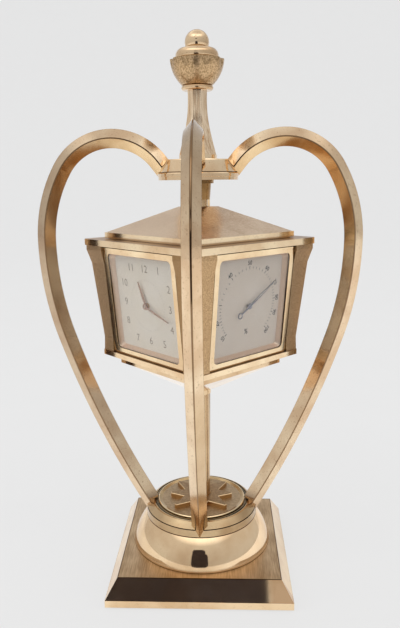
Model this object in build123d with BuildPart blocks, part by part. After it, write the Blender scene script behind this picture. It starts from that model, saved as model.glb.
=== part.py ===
"""Table clock: a square lantern of four instruments that turns inside a heart-shaped cage of four bars.

Millimetres. +Z is up, the origin is the middle of the base's underside, and -Y is the front.
The cage bars stand at the front, right, back and left, and the lantern's corners point at them at rest.
"""

import os
from math import atan2, cos, degrees, pi, radians, sin

from build123d import *

# Clearances
FIT = 0.1  # between fixed pieces that slide together
RUN = 0.06  # radial clearance of a turning shaft
SEAT_GAP = 0.3  # between a bar's foot and the dish that it stands beside

# Plinth
PLINTH_HALF = 50.4
PLINTH_TOP_HALF = 44.2
PLINTH_BAND = 4.7
PLINTH_TOP = 14.7
PLINTH_WALL = 3.2
FELT_THICK = 0.8
FELT_INSET = 1.5
WEIGHT_HALF = 44.0
WEIGHT_THICK = 3.0

# Dome, collar and compass dish
COLLAR_R = 32.4
DOME_FOOT_R = COLLAR_R + 7.8
DOME_LIP = 1.0
DOME_BULGE = 1.15
DOME_TOP = 31.3
DOME_WALL = 2.4
DOME_CAVITY_R = COLLAR_R + 0.2
COLLAR_STEP = 36.2
COLLAR_TOP = 39.2
COLLAR_GROOVE = 0.5
GROOVE_DEPTH = 0.6  # the two round grooves in the collar's top
RIM_OUTER_R = COLLAR_R - 4.2
RIM_INNER_R = RIM_OUTER_R - 0.6
BEAD_OUTER_R = RIM_INNER_R - 0.7
BEAD_INNER_R = BEAD_OUTER_R - 0.6
DISH_R = BEAD_INNER_R - 0.7
DISH_CREST = 40.2
DISH_FLOOR_R = DISH_R - 2.4
DISH_FLOOR = 39.5
DISH_THICK = 1.9
DISH_SKIRT = 2.5
STAR_POINTS = 8
STAR_LONG_R = DISH_R - 5.2
STAR_SHORT_R = STAR_LONG_R - 2.4
STAR_WAIST_R = 11.0
STAR_TIP_HALF = 0.8
STAR_HEIGHT = 2.4
STAR_EDGE = 0.25

# Cage bars: the outer ridge of a diamond-shaped bar runs along tangent arcs
BAR_DEPTH = 10.0  # across the diamond, towards the axis
BAR_WIDTH = 8.8  # across the diamond, sideways
BAR_FLAT = 0.6  # narrow flat along each ridge
BAR_REACH = 89.0  # widest radius of the outer ridge
BAR_WIDEST_Z = 191.9
SHOULDER_R, SHOULDER_TURN = 82.0, 30.2
CROWN_R, CROWN_TURN = 36.5, 112.5
FLANK_R, FLANK_TURN = 176.0, 18.4
SHANK_R, SHANK_TURN = 536.0, 12.2
BAR_TAIL = 6.0  # extra length that the seats cut off

# Hub, spire and finial
HUB_BOTTOM = 224.2
HUB_LIP_R = 21.8
HUB_LIP = 3.9
HUB_TOP_R = 18.4
HUB_TOP = 234.8
SPIRE_SIDES = 8
SPIRE_FOOT_R = 10.1
SPIRE_FOOT = 2.4
SPIRE_HEIGHT = 32.6
SPIRE_TOP = HUB_TOP + SPIRE_FOOT + SPIRE_HEIGHT
NECK_R = 8.1
NECK_THICK = 2.7
CUP_HEIGHT = 12.6
CUP_FOOT_R = 8.0
CUP_RIM_R = 14.1
CUP_BELLY = 1.3
CUP_FLUTE_R = 6.0
CUP_FLUTE = 0.9
CUSHION_R = 11.2
CUSHION_HEIGHT = 6.3
CUSHION_SEAT = 1.2
BALL_R = 6.3
BALL_SHOWN = 9.7

# Centre post and tie rod
POST_R = 5.2
ROD_R = 2.0
ROD_BORE_R = ROD_R + FIT
ROD_IN_SPIRE = 24.8
NUT_ACROSS = 8.0
NUT_THICK = 3.2
WASHER_R = 6.8
WASHER_THICK = 1.0
REST_R = 6.0
REST_THICK = 3.0
SOCKET_R = 8.3
SOCKET_LIP = 1.8
SOCKET_HEIGHT = 8.5

# Lantern
TOP_PLATE_HALF = 45.2
TOP_PLATE_BOTTOM = 189.9
TOP_PLATE_THICK = 3.3
BOTTOM_PLATE_HALF = 39.3
BOTTOM_PLATE_TOP = 130.6
BOTTOM_PLATE_THICK = 2.75
PLATE_CORNER_CUT = 1.6
REVEAL = 0.4  # shadow line between a plate and the slab on it
REVEAL_INSET = 1.5
ROOF_HALF = 36.6
ROOF_SLAB = 3.0
ROOF_RISE = 13.6
ROOF_WALL = 8.0
KEEL_HALF = 31.9
KEEL_SLAB = 5.0
KEEL_DROP = 18.7
ROOF_TOP_HALF = 7.6
ROOF_BORE_R = POST_R + 1.0
BUSH_R = 6.6
BUSH_LENGTH = 6.0

# Dial faces, which lean out at the top
FACE_BOTTOM_REACH = 37.75
FACE_TOP_REACH = 43.25
FACE_BOTTOM_Z = 130.85
FACE_TOP_Z = 189.2
BEZEL_HALF = 29.0
BEZEL_BORDER = 3.0
BEZEL_DEPTH = 3.0
BEZEL_CORNER = 0.8
WINDOW_CORNER = 2.6
SLEEVE_WALL = 0.8
SEAT_WIDTH = 0.3  # ledge that a glass lies on
BEVEL_WIDTH = 1.5  # how far the window has narrowed at the dial
DIAL_RECESS = 4.4
DIAL_THICK = 0.8
CRYSTAL_SETBACK = 0.5
CRYSTAL_THICK = 1.2
CUP_R = 21.0
CUP_DEPTH = 8.0
CUP_WALL = 1.0

# Corner posts of the lantern: reach of their faces at some heights
POST_FACE_FOOT = 38.8
POST_FACE_WAIST = 38.6
POST_FACE_SHOULDER = 42.5
POST_FACE_HEAD = 44.4
POST_WAIST_Z = 138.0
POST_SHOULDER_Z = 180.0
POST_CORNER_CUT = 1.0

# Screws
SCREW_R = 1.25
SCREW_HEAD_R = 2.3
SCREW_HEAD = 1.3
PLATE_SCREW_LENGTH = 8.0

# Clock unit, behind its dial
CASE_HALF = 21.0
CASE_WALL = 0.9
CASE_DEPTH = 16.0
MOVEMENT_HALF = 19.2
PLATE_THICK = 1.2
PILLAR_R = 1.2
PILLAR_OFFSET = 16.8
ARBOR_R = 0.6
PIPE_R = 1.5
BOSS_R = 1.6
WHEEL_THICK = 0.7
ESCAPEMENT_WIDE = 11.5
ESCAPEMENT_HIGH = 9.0

# Clock gearing: teeth and modules
CANNON_TEETH, MINUTE_TEETH, MOTION_MODULE = 12, 36, 0.35
MINUTE_PINION_TEETH, HOUR_TEETH = 10, 40
BARREL_TEETH, CENTRE_PINION_TEETH, BARREL_MODULE = 60, 10, 0.30
MOTION_ANGLE = 300.0  # where each arbor stands round the centre arbor
BARREL_ANGLE = 90.0
TOOTH_SHARE = 0.36  # tooth thickness as a share of the pitch
ADDENDUM = 0.80
DEDENDUM = 1.15

# Hands, measured from the dial's front
HOUR_AT = 339.5
MINUTE_AT = 109.0
HOUR_LENGTH = 13.4
MINUTE_LENGTH = 19.1
HOUR_Z = 1.1
MINUTE_Z = 1.8
HAND_THICK = 0.3
POINTER_Z = 1.4
POINTER_LENGTH = 20.5
POINTER_TAIL = 8.0
POINTER_HALF = 0.75
POINTER_STRIP = 0.35  # width of each side of the open blade
SLOT_START = 4.0
HOUR_HALF = 0.85
MINUTE_HALF = 0.6
HYGRO_AT = 57.5
BARO_AT = 20.0
THERMO_AT = -15.0
KEY_SPAN = 11.0
KEY_THICK = 1.4
KNOB_R = 3.6
KNOB_LENGTH = 3.6

FACE_RISE = FACE_TOP_Z - FACE_BOTTOM_Z
FACE_LEAN = degrees(atan2(FACE_TOP_REACH - FACE_BOTTOM_REACH, FACE_RISE))
FACE_HEIGHT = FACE_RISE / cos(radians(FACE_LEAN))
FACE_MID_REACH = (FACE_TOP_REACH + FACE_BOTTOM_REACH) / 2
FACE_MID_Z = (FACE_TOP_Z + FACE_BOTTOM_Z) / 2
WINDOW_HALF = BEZEL_HALF - BEZEL_BORDER
WINDOW_HEIGHT = FACE_HEIGHT - 2 * BEZEL_BORDER
SLEEVE_HALF = WINDOW_HALF + SLEEVE_WALL
BEARING_R = POST_R + RUN
MOTION_DISTANCE = MOTION_MODULE * (CANNON_TEETH + MINUTE_TEETH) / 2
HOUR_MODULE = 2 * MOTION_DISTANCE / (MINUTE_PINION_TEETH + HOUR_TEETH)
BARREL_DISTANCE = BARREL_MODULE * (BARREL_TEETH + CENTRE_PINION_TEETH) / 2

FACE_AZIMUTHS = {"hygro": -45.0, "baro": 45.0, "thermo": 135.0, "clock": 225.0}
FRONT, RIGHT, BACK, LEFT = -90.0, 0.0, 90.0, 180.0
QUARTERS = {"front": FRONT, "right": RIGHT, "back": BACK, "left": LEFT}

HUB_OUTLINE = [
    (0, HUB_TOP),
    (HUB_TOP_R, HUB_TOP),
    (HUB_TOP_R + 0.3, HUB_TOP - 0.5),
    (HUB_TOP_R + 1.8, HUB_BOTTOM + HUB_LIP + 0.7),
    (HUB_TOP_R + 1.9, HUB_BOTTOM + HUB_LIP),
    (HUB_LIP_R - 0.5, HUB_BOTTOM + HUB_LIP),
    (HUB_LIP_R, HUB_BOTTOM + HUB_LIP - 0.6),
    (HUB_LIP_R, HUB_BOTTOM + HUB_LIP * 0.45),
    (HUB_LIP_R - 0.4, HUB_BOTTOM + HUB_LIP * 0.42),
    (HUB_LIP_R - 0.4, HUB_BOTTOM),
]
FOOT_SCREW_REACH = COLLAR_R - 2.2
FOOT_SCREW_TOP = 43.0
HUB_SCREW_REACH = 18.2
HUB_SCREW_TOP = 233.2

os.makedirs("parts", exist_ok=True)


def upright(angle):
    """Vertical plane through the axis: local x runs outwards, local y runs up."""
    a = radians(angle)
    return Plane(origin=(0, 0, 0), x_dir=(cos(a), sin(a), 0), z_dir=(sin(a), -cos(a), 0))


def level(z, angle=0.0):
    """Horizontal plane at a height, turned about the axis."""
    a = radians(angle)
    return Plane(origin=(0, 0, z), x_dir=(cos(a), sin(a), 0), z_dir=(0, 0, 1))


def face_plane(azimuth, depth=0.0):
    """Plane of a dial face: local x to the right, y up the face, z outwards. Depth is behind the bezel."""
    a = radians(azimuth)
    t = radians(FACE_LEAN)
    out = Vector(cos(a) * cos(t), sin(a) * cos(t), -sin(t))
    up = Vector(cos(a) * sin(t), sin(a) * sin(t), cos(t))
    middle = Vector(FACE_MID_REACH * cos(a), FACE_MID_REACH * sin(a), FACE_MID_Z)
    return Plane(origin=middle - out * depth, x_dir=up.cross(out), z_dir=out)


def gear_points(teeth, module, phase):
    """Outline of a wheel with straight-sided teeth, one of them centred on the phase angle."""
    pitch = 2 * pi / teeth
    points = []
    for k in range(teeth):
        middle = radians(phase) + k * pitch
        root = module * (teeth / 2 - DEDENDUM)
        tip = module * (teeth / 2 + ADDENDUM)
        for radius, share in (
            (root, -TOOTH_SHARE * 0.66),
            (tip, -TOOTH_SHARE * 0.24),
            (tip, TOOTH_SHARE * 0.24),
            (root, TOOTH_SHARE * 0.66),
        ):
            angle = middle + share * pitch
            points.append((radius * cos(angle), radius * sin(angle)))
    return points


def spiral_points(inner, outer, turns, width):
    """Outline of a flat spiral band."""
    steps = int(turns * 24)
    out_side = []
    in_side = []
    for k in range(steps + 1):
        angle = 2 * pi * turns * k / steps
        radius = inner + (outer - inner) * k / steps
        out_side.append(((radius + width / 2) * cos(angle), (radius + width / 2) * sin(angle)))
        in_side.append(((radius - width / 2) * cos(angle), (radius - width / 2) * sin(angle)))
    return out_side + in_side[::-1]


def leaf_points(length, tail, half, tip, root):
    """Outline of a tapering hand that points along +y."""
    return [
        (-root, -tail),
        (root, -tail),
        (half, length * 0.42),
        (tip, length),
        (-tip, length),
        (-half, length * 0.42),
    ]


def finish(builder, name):
    """Labels a finished piece and writes it to its file."""
    builder.part.label = name
    export_step(builder.part, f"parts/{name}.step")


# Base

with BuildPart() as plinth:
    with BuildSketch(Plane.XY.offset(FELT_THICK)):
        Rectangle(2 * PLINTH_HALF, 2 * PLINTH_HALF)
    extrude(amount=PLINTH_BAND - FELT_THICK)
    with BuildSketch(Plane.XY.offset(PLINTH_BAND)):
        Rectangle(2 * PLINTH_HALF - 0.2, 2 * PLINTH_HALF - 0.2)
    with BuildSketch(Plane.XY.offset(PLINTH_TOP)):
        Rectangle(2 * PLINTH_TOP_HALF, 2 * PLINTH_TOP_HALF)
    loft(ruled=True)
    with BuildSketch(Plane.XY.offset(FELT_THICK)):
        Rectangle(2 * (WEIGHT_HALF - PLINTH_WALL), 2 * (WEIGHT_HALF - PLINTH_WALL))
    extrude(amount=PLINTH_TOP - PLINTH_WALL - FELT_THICK, mode=Mode.SUBTRACT)
    with BuildSketch(Plane.XY):
        Circle(ROD_BORE_R)
    extrude(amount=PLINTH_TOP + 1, mode=Mode.SUBTRACT)
finish(plinth, "plinth")

WEIGHT_SIDE = 2 * (WEIGHT_HALF - PLINTH_WALL - FIT)
WEIGHT_BOTTOM = PLINTH_TOP - PLINTH_WALL - WEIGHT_THICK

with BuildPart() as base_weight:
    with BuildSketch(Plane.XY.offset(WEIGHT_BOTTOM)):
        Rectangle(WEIGHT_SIDE, WEIGHT_SIDE)
        Circle(ROD_BORE_R, mode=Mode.SUBTRACT)
    extrude(amount=WEIGHT_THICK)
finish(base_weight, "base_weight")

with BuildPart() as base_nut:
    with BuildSketch(Plane.XY.offset(WEIGHT_BOTTOM - WASHER_THICK)):
        Circle(WASHER_R)
        Circle(ROD_R, mode=Mode.SUBTRACT)
    extrude(amount=WASHER_THICK)
    with BuildSketch(Plane.XY.offset(WEIGHT_BOTTOM - WASHER_THICK - NUT_THICK)):
        RegularPolygon(NUT_ACROSS / 2, 6, major_radius=False)
        Circle(ROD_R, mode=Mode.SUBTRACT)
    extrude(amount=NUT_THICK)
finish(base_nut, "base_nut")

with BuildPart() as base_felt:
    with BuildSketch(Plane.XY):
        Rectangle(2 * (PLINTH_HALF - FELT_INSET), 2 * (PLINTH_HALF - FELT_INSET))
    extrude(amount=FELT_THICK)
finish(base_felt, "base_felt")

with BuildPart() as dome:
    with BuildSketch(upright(RIGHT)):
        with BuildLine():
            Line((ROD_BORE_R, PLINTH_TOP), (DOME_FOOT_R, PLINTH_TOP))
            Line((DOME_FOOT_R, PLINTH_TOP), (DOME_FOOT_R, PLINTH_TOP + DOME_LIP))
            ThreePointArc(
                (DOME_FOOT_R, PLINTH_TOP + DOME_LIP),
                (
                    (DOME_FOOT_R + COLLAR_R) / 2 + DOME_BULGE * 0.86,
                    (PLINTH_TOP + DOME_LIP + DOME_TOP) / 2 + DOME_BULGE * 0.5,
                ),
                (COLLAR_R, DOME_TOP),
            )
            Line((COLLAR_R, DOME_TOP), (ROD_BORE_R, DOME_TOP))
            Line((ROD_BORE_R, DOME_TOP), (ROD_BORE_R, PLINTH_TOP))
        make_face()
    revolve(axis=Axis.Z)
    with BuildSketch(upright(RIGHT)):
        with Locations(((POST_R + 2 + DOME_CAVITY_R) / 2, (PLINTH_TOP + DOME_TOP - DOME_WALL) / 2)):
            Rectangle(DOME_CAVITY_R - POST_R - 2, DOME_TOP - DOME_WALL - PLINTH_TOP)
    revolve(axis=Axis.Z, mode=Mode.SUBTRACT)
    with BuildSketch(level(DOME_TOP - DOME_WALL - 0.1)):
        with PolarLocations(FOOT_SCREW_REACH, 4):
            Circle(SCREW_R + FIT)
    extrude(amount=DOME_WALL + 0.2, mode=Mode.SUBTRACT)
finish(dome, "dome")

COLLAR_OUTLINE = [
    (COLLAR_R - 0.5, DOME_TOP),
    (COLLAR_R, DOME_TOP + 0.5),
    (COLLAR_R - 0.2, COLLAR_STEP - COLLAR_GROOVE),
    (COLLAR_R - 0.9, COLLAR_STEP - COLLAR_GROOVE),
    (COLLAR_R - 0.9, COLLAR_STEP),
    (COLLAR_R - 0.4, COLLAR_STEP),
    (RIM_OUTER_R + 0.5, COLLAR_TOP - 0.3),
    (RIM_OUTER_R, COLLAR_TOP),
]

BAR_SEAT = [
    (0, 0),
    (COLLAR_R + BAR_WIDTH, 0),
    (COLLAR_R + BAR_WIDTH, DOME_TOP + 0.5),
    *COLLAR_OUTLINE[1:3],
    *COLLAR_OUTLINE[5:],
    (DISH_R + SEAT_GAP, COLLAR_TOP),
    (DISH_R + SEAT_GAP, DISH_CREST + SEAT_GAP),
    (0, DISH_CREST + SEAT_GAP),
]

with BuildPart() as collar:
    with BuildSketch(upright(RIGHT)):
        Polygon(
            (DISH_R, DOME_TOP),
            *COLLAR_OUTLINE,
            (RIM_INNER_R, COLLAR_TOP),
            (RIM_INNER_R - 0.1, COLLAR_TOP - GROOVE_DEPTH),
            (BEAD_OUTER_R, COLLAR_TOP - GROOVE_DEPTH),
            (BEAD_OUTER_R - 0.1, COLLAR_TOP),
            (BEAD_INNER_R, COLLAR_TOP),
            (BEAD_INNER_R - 0.1, COLLAR_TOP - GROOVE_DEPTH),
            (DISH_R, COLLAR_TOP - GROOVE_DEPTH),
            align=None,
        )
    revolve(axis=Axis.Z)
    with BuildSketch(level(DOME_TOP)):
        with PolarLocations(FOOT_SCREW_REACH, 4):
            Circle(SCREW_R + FIT)
    extrude(amount=COLLAR_TOP, mode=Mode.SUBTRACT)
finish(collar, "collar")

with BuildPart() as compass_dish:
    with BuildSketch(upright(RIGHT)):
        Polygon(
            (ROD_BORE_R, DISH_FLOOR - DISH_THICK),
            (DISH_R - DISH_SKIRT, DISH_FLOOR - DISH_THICK),
            (DISH_R - DISH_SKIRT, DOME_TOP),
            (DISH_R - 0.02, DOME_TOP),
            (DISH_R - 0.02, DISH_CREST - 0.3),
            (DISH_R - 0.3, DISH_CREST),
            (DISH_R - 0.7, DISH_CREST),
            (DISH_FLOOR_R, DISH_FLOOR),
            (ROD_BORE_R, DISH_FLOOR),
            align=None,
        )
    revolve(axis=Axis.Z)
finish(compass_dish, "compass_dish")


def star_points():
    """Outline of the compass star: long rays on the diagonals, short ones between, with blunt tips."""
    points = []
    for k in range(STAR_POINTS):
        turn = k * 2 * pi / STAR_POINTS
        reach = STAR_SHORT_R if k % 2 == 0 else STAR_LONG_R
        for side_offset in (-STAR_TIP_HALF, STAR_TIP_HALF):
            points.append(
                (
                    reach * cos(turn) - side_offset * sin(turn),
                    reach * sin(turn) + side_offset * cos(turn),
                )
            )
        valley = turn + pi / STAR_POINTS
        points.append((STAR_WAIST_R * cos(valley), STAR_WAIST_R * sin(valley)))
    return points


with BuildPart() as compass_star:
    with BuildSketch(level(DISH_FLOOR)):
        Polygon(*star_points(), align=None)
        Circle(POST_R + FIT, mode=Mode.SUBTRACT)
    extrude(amount=STAR_HEIGHT)
    chamfer(compass_star.edges().group_by(Axis.Z)[-1], STAR_EDGE)
finish(compass_star, "compass_star")

# Cage


def cage_bar(angle):
    """One bar of the cage, trimmed to its seats on the collar and the hub."""
    half_flat = BAR_FLAT / 2
    half_depth = BAR_DEPTH / 2
    half_width = BAR_WIDTH / 2
    with BuildPart() as bar:
        for climb, first, first_turn, second, second_turn in (
            (1, SHOULDER_R, SHOULDER_TURN, CROWN_R, CROWN_TURN),
            (-1, FLANK_R, FLANK_TURN, SHANK_R, SHANK_TURN),
        ):
            with BuildLine(upright(angle)) as path:
                near = JernArc((BAR_REACH, BAR_WIDEST_Z), (0, climb), first, climb * first_turn)
                far = JernArc(near @ 1, near % 1, second, climb * second_turn)
                PolarLine(far @ 1, BAR_TAIL, direction=far % 1)
            with BuildSketch(level(BAR_WIDEST_Z, angle)):
                with Locations((BAR_REACH - half_depth, 0)):
                    Polygon(
                        (half_depth, -half_flat),
                        (half_depth, half_flat),
                        (half_flat, half_width),
                        (-half_flat, half_width),
                        (-half_depth, half_flat),
                        (-half_depth, -half_flat),
                        (-half_flat, -half_width),
                        (half_flat, -half_width),
                        align=None,
                    )
            sweep(path=path.wires()[0])
        with BuildSketch(upright(angle)):
            Polygon(*BAR_SEAT, align=None)
        revolve(axis=Axis.Z, mode=Mode.SUBTRACT)
        with BuildSketch(upright(angle)):
            Polygon(*HUB_OUTLINE, (0, HUB_BOTTOM), align=None)
        revolve(axis=Axis.Z, mode=Mode.SUBTRACT)
        with BuildSketch(level(DOME_TOP, angle)):
            with Locations((FOOT_SCREW_REACH, 0)):
                Circle(SCREW_R)
        extrude(amount=FOOT_SCREW_TOP - DOME_TOP, mode=Mode.SUBTRACT)
        with BuildSketch(level(HUB_BOTTOM, angle)):
            with Locations((HUB_SCREW_REACH, 0)):
                Circle(SCREW_R)
        extrude(amount=HUB_SCREW_TOP - HUB_BOTTOM, mode=Mode.SUBTRACT)
    return bar


for side, azimuth in QUARTERS.items():
    finish(cage_bar(azimuth), f"cage_bar_{side}")

with BuildPart() as hub:
    with BuildSketch(upright(RIGHT)):
        Polygon((ROD_BORE_R, HUB_TOP), *HUB_OUTLINE[1:], (ROD_BORE_R, HUB_BOTTOM), align=None)
    revolve(axis=Axis.Z)
    with BuildSketch(level(HUB_BOTTOM - 0.1)):
        with PolarLocations(HUB_SCREW_REACH, 4):
            Circle(SCREW_R + FIT)
    extrude(amount=HUB_TOP, mode=Mode.SUBTRACT)
    with BuildSketch(level(HUB_BOTTOM - 0.1)):
        with PolarLocations(HUB_SCREW_REACH, 4):
            Circle(SCREW_HEAD_R + FIT)
    extrude(amount=SCREW_HEAD + 0.1, mode=Mode.SUBTRACT)
finish(hub, "hub")

with BuildPart() as cage_screws:
    with BuildSketch(level(DOME_TOP - DOME_WALL)):
        with PolarLocations(FOOT_SCREW_REACH, 4):
            Circle(SCREW_R)
    extrude(amount=FOOT_SCREW_TOP - DOME_TOP + DOME_WALL - 0.5)
    with BuildSketch(level(DOME_TOP - DOME_WALL)):
        with PolarLocations(FOOT_SCREW_REACH, 4):
            Circle(SCREW_HEAD_R)
    extrude(amount=-SCREW_HEAD)
    with BuildSketch(level(HUB_BOTTOM)):
        with PolarLocations(HUB_SCREW_REACH, 4):
            Circle(SCREW_HEAD_R)
    extrude(amount=SCREW_HEAD)
    with BuildSketch(level(HUB_BOTTOM + SCREW_HEAD)):
        with PolarLocations(HUB_SCREW_REACH, 4):
            Circle(SCREW_R)
    extrude(amount=HUB_SCREW_TOP - HUB_BOTTOM - SCREW_HEAD - 0.5)
finish(cage_screws, "cage_screws")

with BuildPart() as spire_foot:
    with BuildSketch(level(HUB_TOP)):
        Circle(SPIRE_FOOT_R)
        Circle(ROD_BORE_R, mode=Mode.SUBTRACT)
    extrude(amount=SPIRE_FOOT)
finish(spire_foot, "spire_foot")

SPIRE_BOTTOM = HUB_TOP + SPIRE_FOOT
ROD_TOP = SPIRE_BOTTOM + ROD_IN_SPIRE
SPIRE_FLARE = (
    (0.0, 9.7),
    (0.11, 8.8),
    (0.28, 7.4),
    (0.48, 6.0),
    (0.65, 5.25),
    (0.82, 4.95),
    (1.0, 5.05),
)

with BuildPart() as spire:
    for share, across in SPIRE_FLARE:
        with BuildSketch(level(SPIRE_BOTTOM + share * SPIRE_HEIGHT, 22.5)):
            RegularPolygon(across, SPIRE_SIDES, major_radius=False)
    loft()
    with BuildSketch(level(SPIRE_BOTTOM - 0.1)):
        Circle(ROD_R + 0.02)
    extrude(amount=ROD_IN_SPIRE + 0.6, mode=Mode.SUBTRACT)
finish(spire, "spire")

NECK_TOP = SPIRE_TOP + NECK_THICK

with BuildPart() as neck_ring:
    with BuildSketch(upright(RIGHT)):
        with BuildLine():
            Line((0, SPIRE_TOP), (NECK_R - 0.8, SPIRE_TOP))
            ThreePointArc(
                (NECK_R - 0.8, SPIRE_TOP),
                (NECK_R + 0.3, (SPIRE_TOP + NECK_TOP) / 2),
                (NECK_R - 0.8, NECK_TOP),
            )
            Line((NECK_R - 0.8, NECK_TOP), (0, NECK_TOP))
            Line((0, NECK_TOP), (0, SPIRE_TOP))
        make_face()
    revolve(axis=Axis.Z)
finish(neck_ring, "neck_ring")

CUP_TOP = NECK_TOP + CUP_HEIGHT
CUSHION_BOTTOM = CUP_TOP - CUSHION_SEAT
CUSHION_TOP = CUSHION_BOTTOM + CUSHION_HEIGHT

with BuildPart() as finial_cup:
    with BuildSketch(upright(RIGHT)):
        with BuildLine():
            Line((0, NECK_TOP), (CUP_FOOT_R, NECK_TOP))
            ThreePointArc(
                (CUP_FOOT_R, NECK_TOP),
                ((CUP_FOOT_R + CUP_RIM_R) / 2 + CUP_BELLY, NECK_TOP + CUP_HEIGHT * 0.46),
                (CUP_RIM_R, CUP_TOP),
            )
            Line((CUP_RIM_R, CUP_TOP), (CUSHION_R + 0.4, CUP_TOP))
            Line((CUSHION_R + 0.4, CUP_TOP), (CUSHION_R + 0.4, CUSHION_BOTTOM))
            Line((CUSHION_R + 0.4, CUSHION_BOTTOM), (0, CUSHION_BOTTOM))
            Line((0, CUSHION_BOTTOM), (0, NECK_TOP))
        make_face()
    revolve(axis=Axis.Z)
    with BuildSketch(level(NECK_TOP + CUP_HEIGHT * 0.2)):
        with PolarLocations(CUP_RIM_R + CUP_FLUTE_R - CUP_FLUTE, SPIRE_SIDES, start_angle=22.5):
            Circle(CUP_FLUTE_R)
    extrude(amount=CUP_HEIGHT, mode=Mode.SUBTRACT)
finish(finial_cup, "finial_cup")

with BuildPart() as cushion:
    with BuildSketch(upright(RIGHT)):
        with BuildLine():
            Line((0, CUSHION_BOTTOM), (CUSHION_R - 1.6, CUSHION_BOTTOM))
            ThreePointArc(
                (CUSHION_R - 1.6, CUSHION_BOTTOM),
                (CUSHION_R, (CUSHION_BOTTOM + CUSHION_TOP) / 2),
                (CUSHION_R - 1.8, CUSHION_TOP),
            )
            Line((CUSHION_R - 1.8, CUSHION_TOP), (0, CUSHION_TOP))
            Line((0, CUSHION_TOP), (0, CUSHION_BOTTOM))
        make_face()
    revolve(axis=Axis.Z)
finish(cushion, "finial_cushion")

with BuildPart() as finial_ball:
    with Locations((0, 0, CUSHION_TOP + BALL_SHOWN - BALL_R)):
        Sphere(BALL_R)
    with Locations((0, 0, CUSHION_TOP)):
        Cylinder(BALL_R + 1, 2 * BALL_R, align=(Align.CENTER, Align.CENTER, Align.MAX), mode=Mode.SUBTRACT)
finish(finial_ball, "finial_ball")

# Centre post

with BuildPart() as tie_rod:
    with BuildSketch(level(WEIGHT_BOTTOM - WASHER_THICK - NUT_THICK - 1)):
        Circle(ROD_R)
    extrude(amount=ROD_TOP - WEIGHT_BOTTOM + WASHER_THICK + NUT_THICK + 1)
finish(tie_rod, "tie_rod")

with BuildPart() as centre_post:
    with BuildSketch(level(DISH_FLOOR)):
        Circle(POST_R)
        Circle(ROD_BORE_R, mode=Mode.SUBTRACT)
    extrude(amount=HUB_BOTTOM - DISH_FLOOR)
finish(centre_post, "centre_post")

KEEL_BOTTOM = BOTTOM_PLATE_TOP - BOTTOM_PLATE_THICK - REVEAL - KEEL_SLAB - KEEL_DROP + 4.0
REST_TOP = KEEL_BOTTOM - 0.05

with BuildPart() as post_collars:
    with BuildSketch(level(REST_TOP)):
        Circle(REST_R)
        Circle(POST_R, mode=Mode.SUBTRACT)
    extrude(amount=-REST_THICK)
    with BuildSketch(upright(RIGHT)):
        Polygon(
            (POST_R, HUB_BOTTOM),
            (SOCKET_R, HUB_BOTTOM),
            (SOCKET_R, HUB_BOTTOM - SOCKET_LIP),
            (SOCKET_R - 1.4, HUB_BOTTOM - SOCKET_LIP),
            (POST_R + 1.0, HUB_BOTTOM - SOCKET_LIP - SOCKET_HEIGHT),
            (POST_R, HUB_BOTTOM - SOCKET_LIP - SOCKET_HEIGHT),
            align=None,
        )
    revolve(axis=Axis.Z)
finish(post_collars, "post_collars")

# Lantern


PLATE_SCREW_OFFSET = 33.5
ROOF_BOTTOM = TOP_PLATE_BOTTOM + TOP_PLATE_THICK + REVEAL
ROOF_SLAB_TOP = ROOF_BOTTOM + ROOF_SLAB
BUSH_BORE = BUSH_R + 0.02
BOTTOM_PLATE_Z = BOTTOM_PLATE_TOP - BOTTOM_PLATE_THICK
KEEL_TOP = BOTTOM_PLATE_Z - REVEAL


def plate(z, thickness, half, step_z, step_half):
    """A square plate of the lantern with small cut corners, screw holes, a bore and a low step."""
    with BuildPart() as piece:
        with BuildSketch(level(z, 45)) as outline:
            Rectangle(2 * half, 2 * half)
            chamfer(outline.vertices(), PLATE_CORNER_CUT)
        extrude(amount=thickness)
        with BuildSketch(level(step_z, 45)):
            Rectangle(2 * step_half, 2 * step_half)
        extrude(amount=REVEAL)
        with BuildSketch(level(z - 1, 45)):
            Circle(BUSH_BORE)
            with GridLocations(2 * PLATE_SCREW_OFFSET, 2 * PLATE_SCREW_OFFSET, 2, 2):
                Circle(SCREW_R + FIT)
        extrude(amount=thickness + 3, mode=Mode.SUBTRACT)
    return piece


top_plate = plate(
    TOP_PLATE_BOTTOM,
    TOP_PLATE_THICK,
    TOP_PLATE_HALF,
    TOP_PLATE_BOTTOM + TOP_PLATE_THICK,
    ROOF_HALF - REVEAL_INSET,
)
finish(top_plate, "top_plate")

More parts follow.
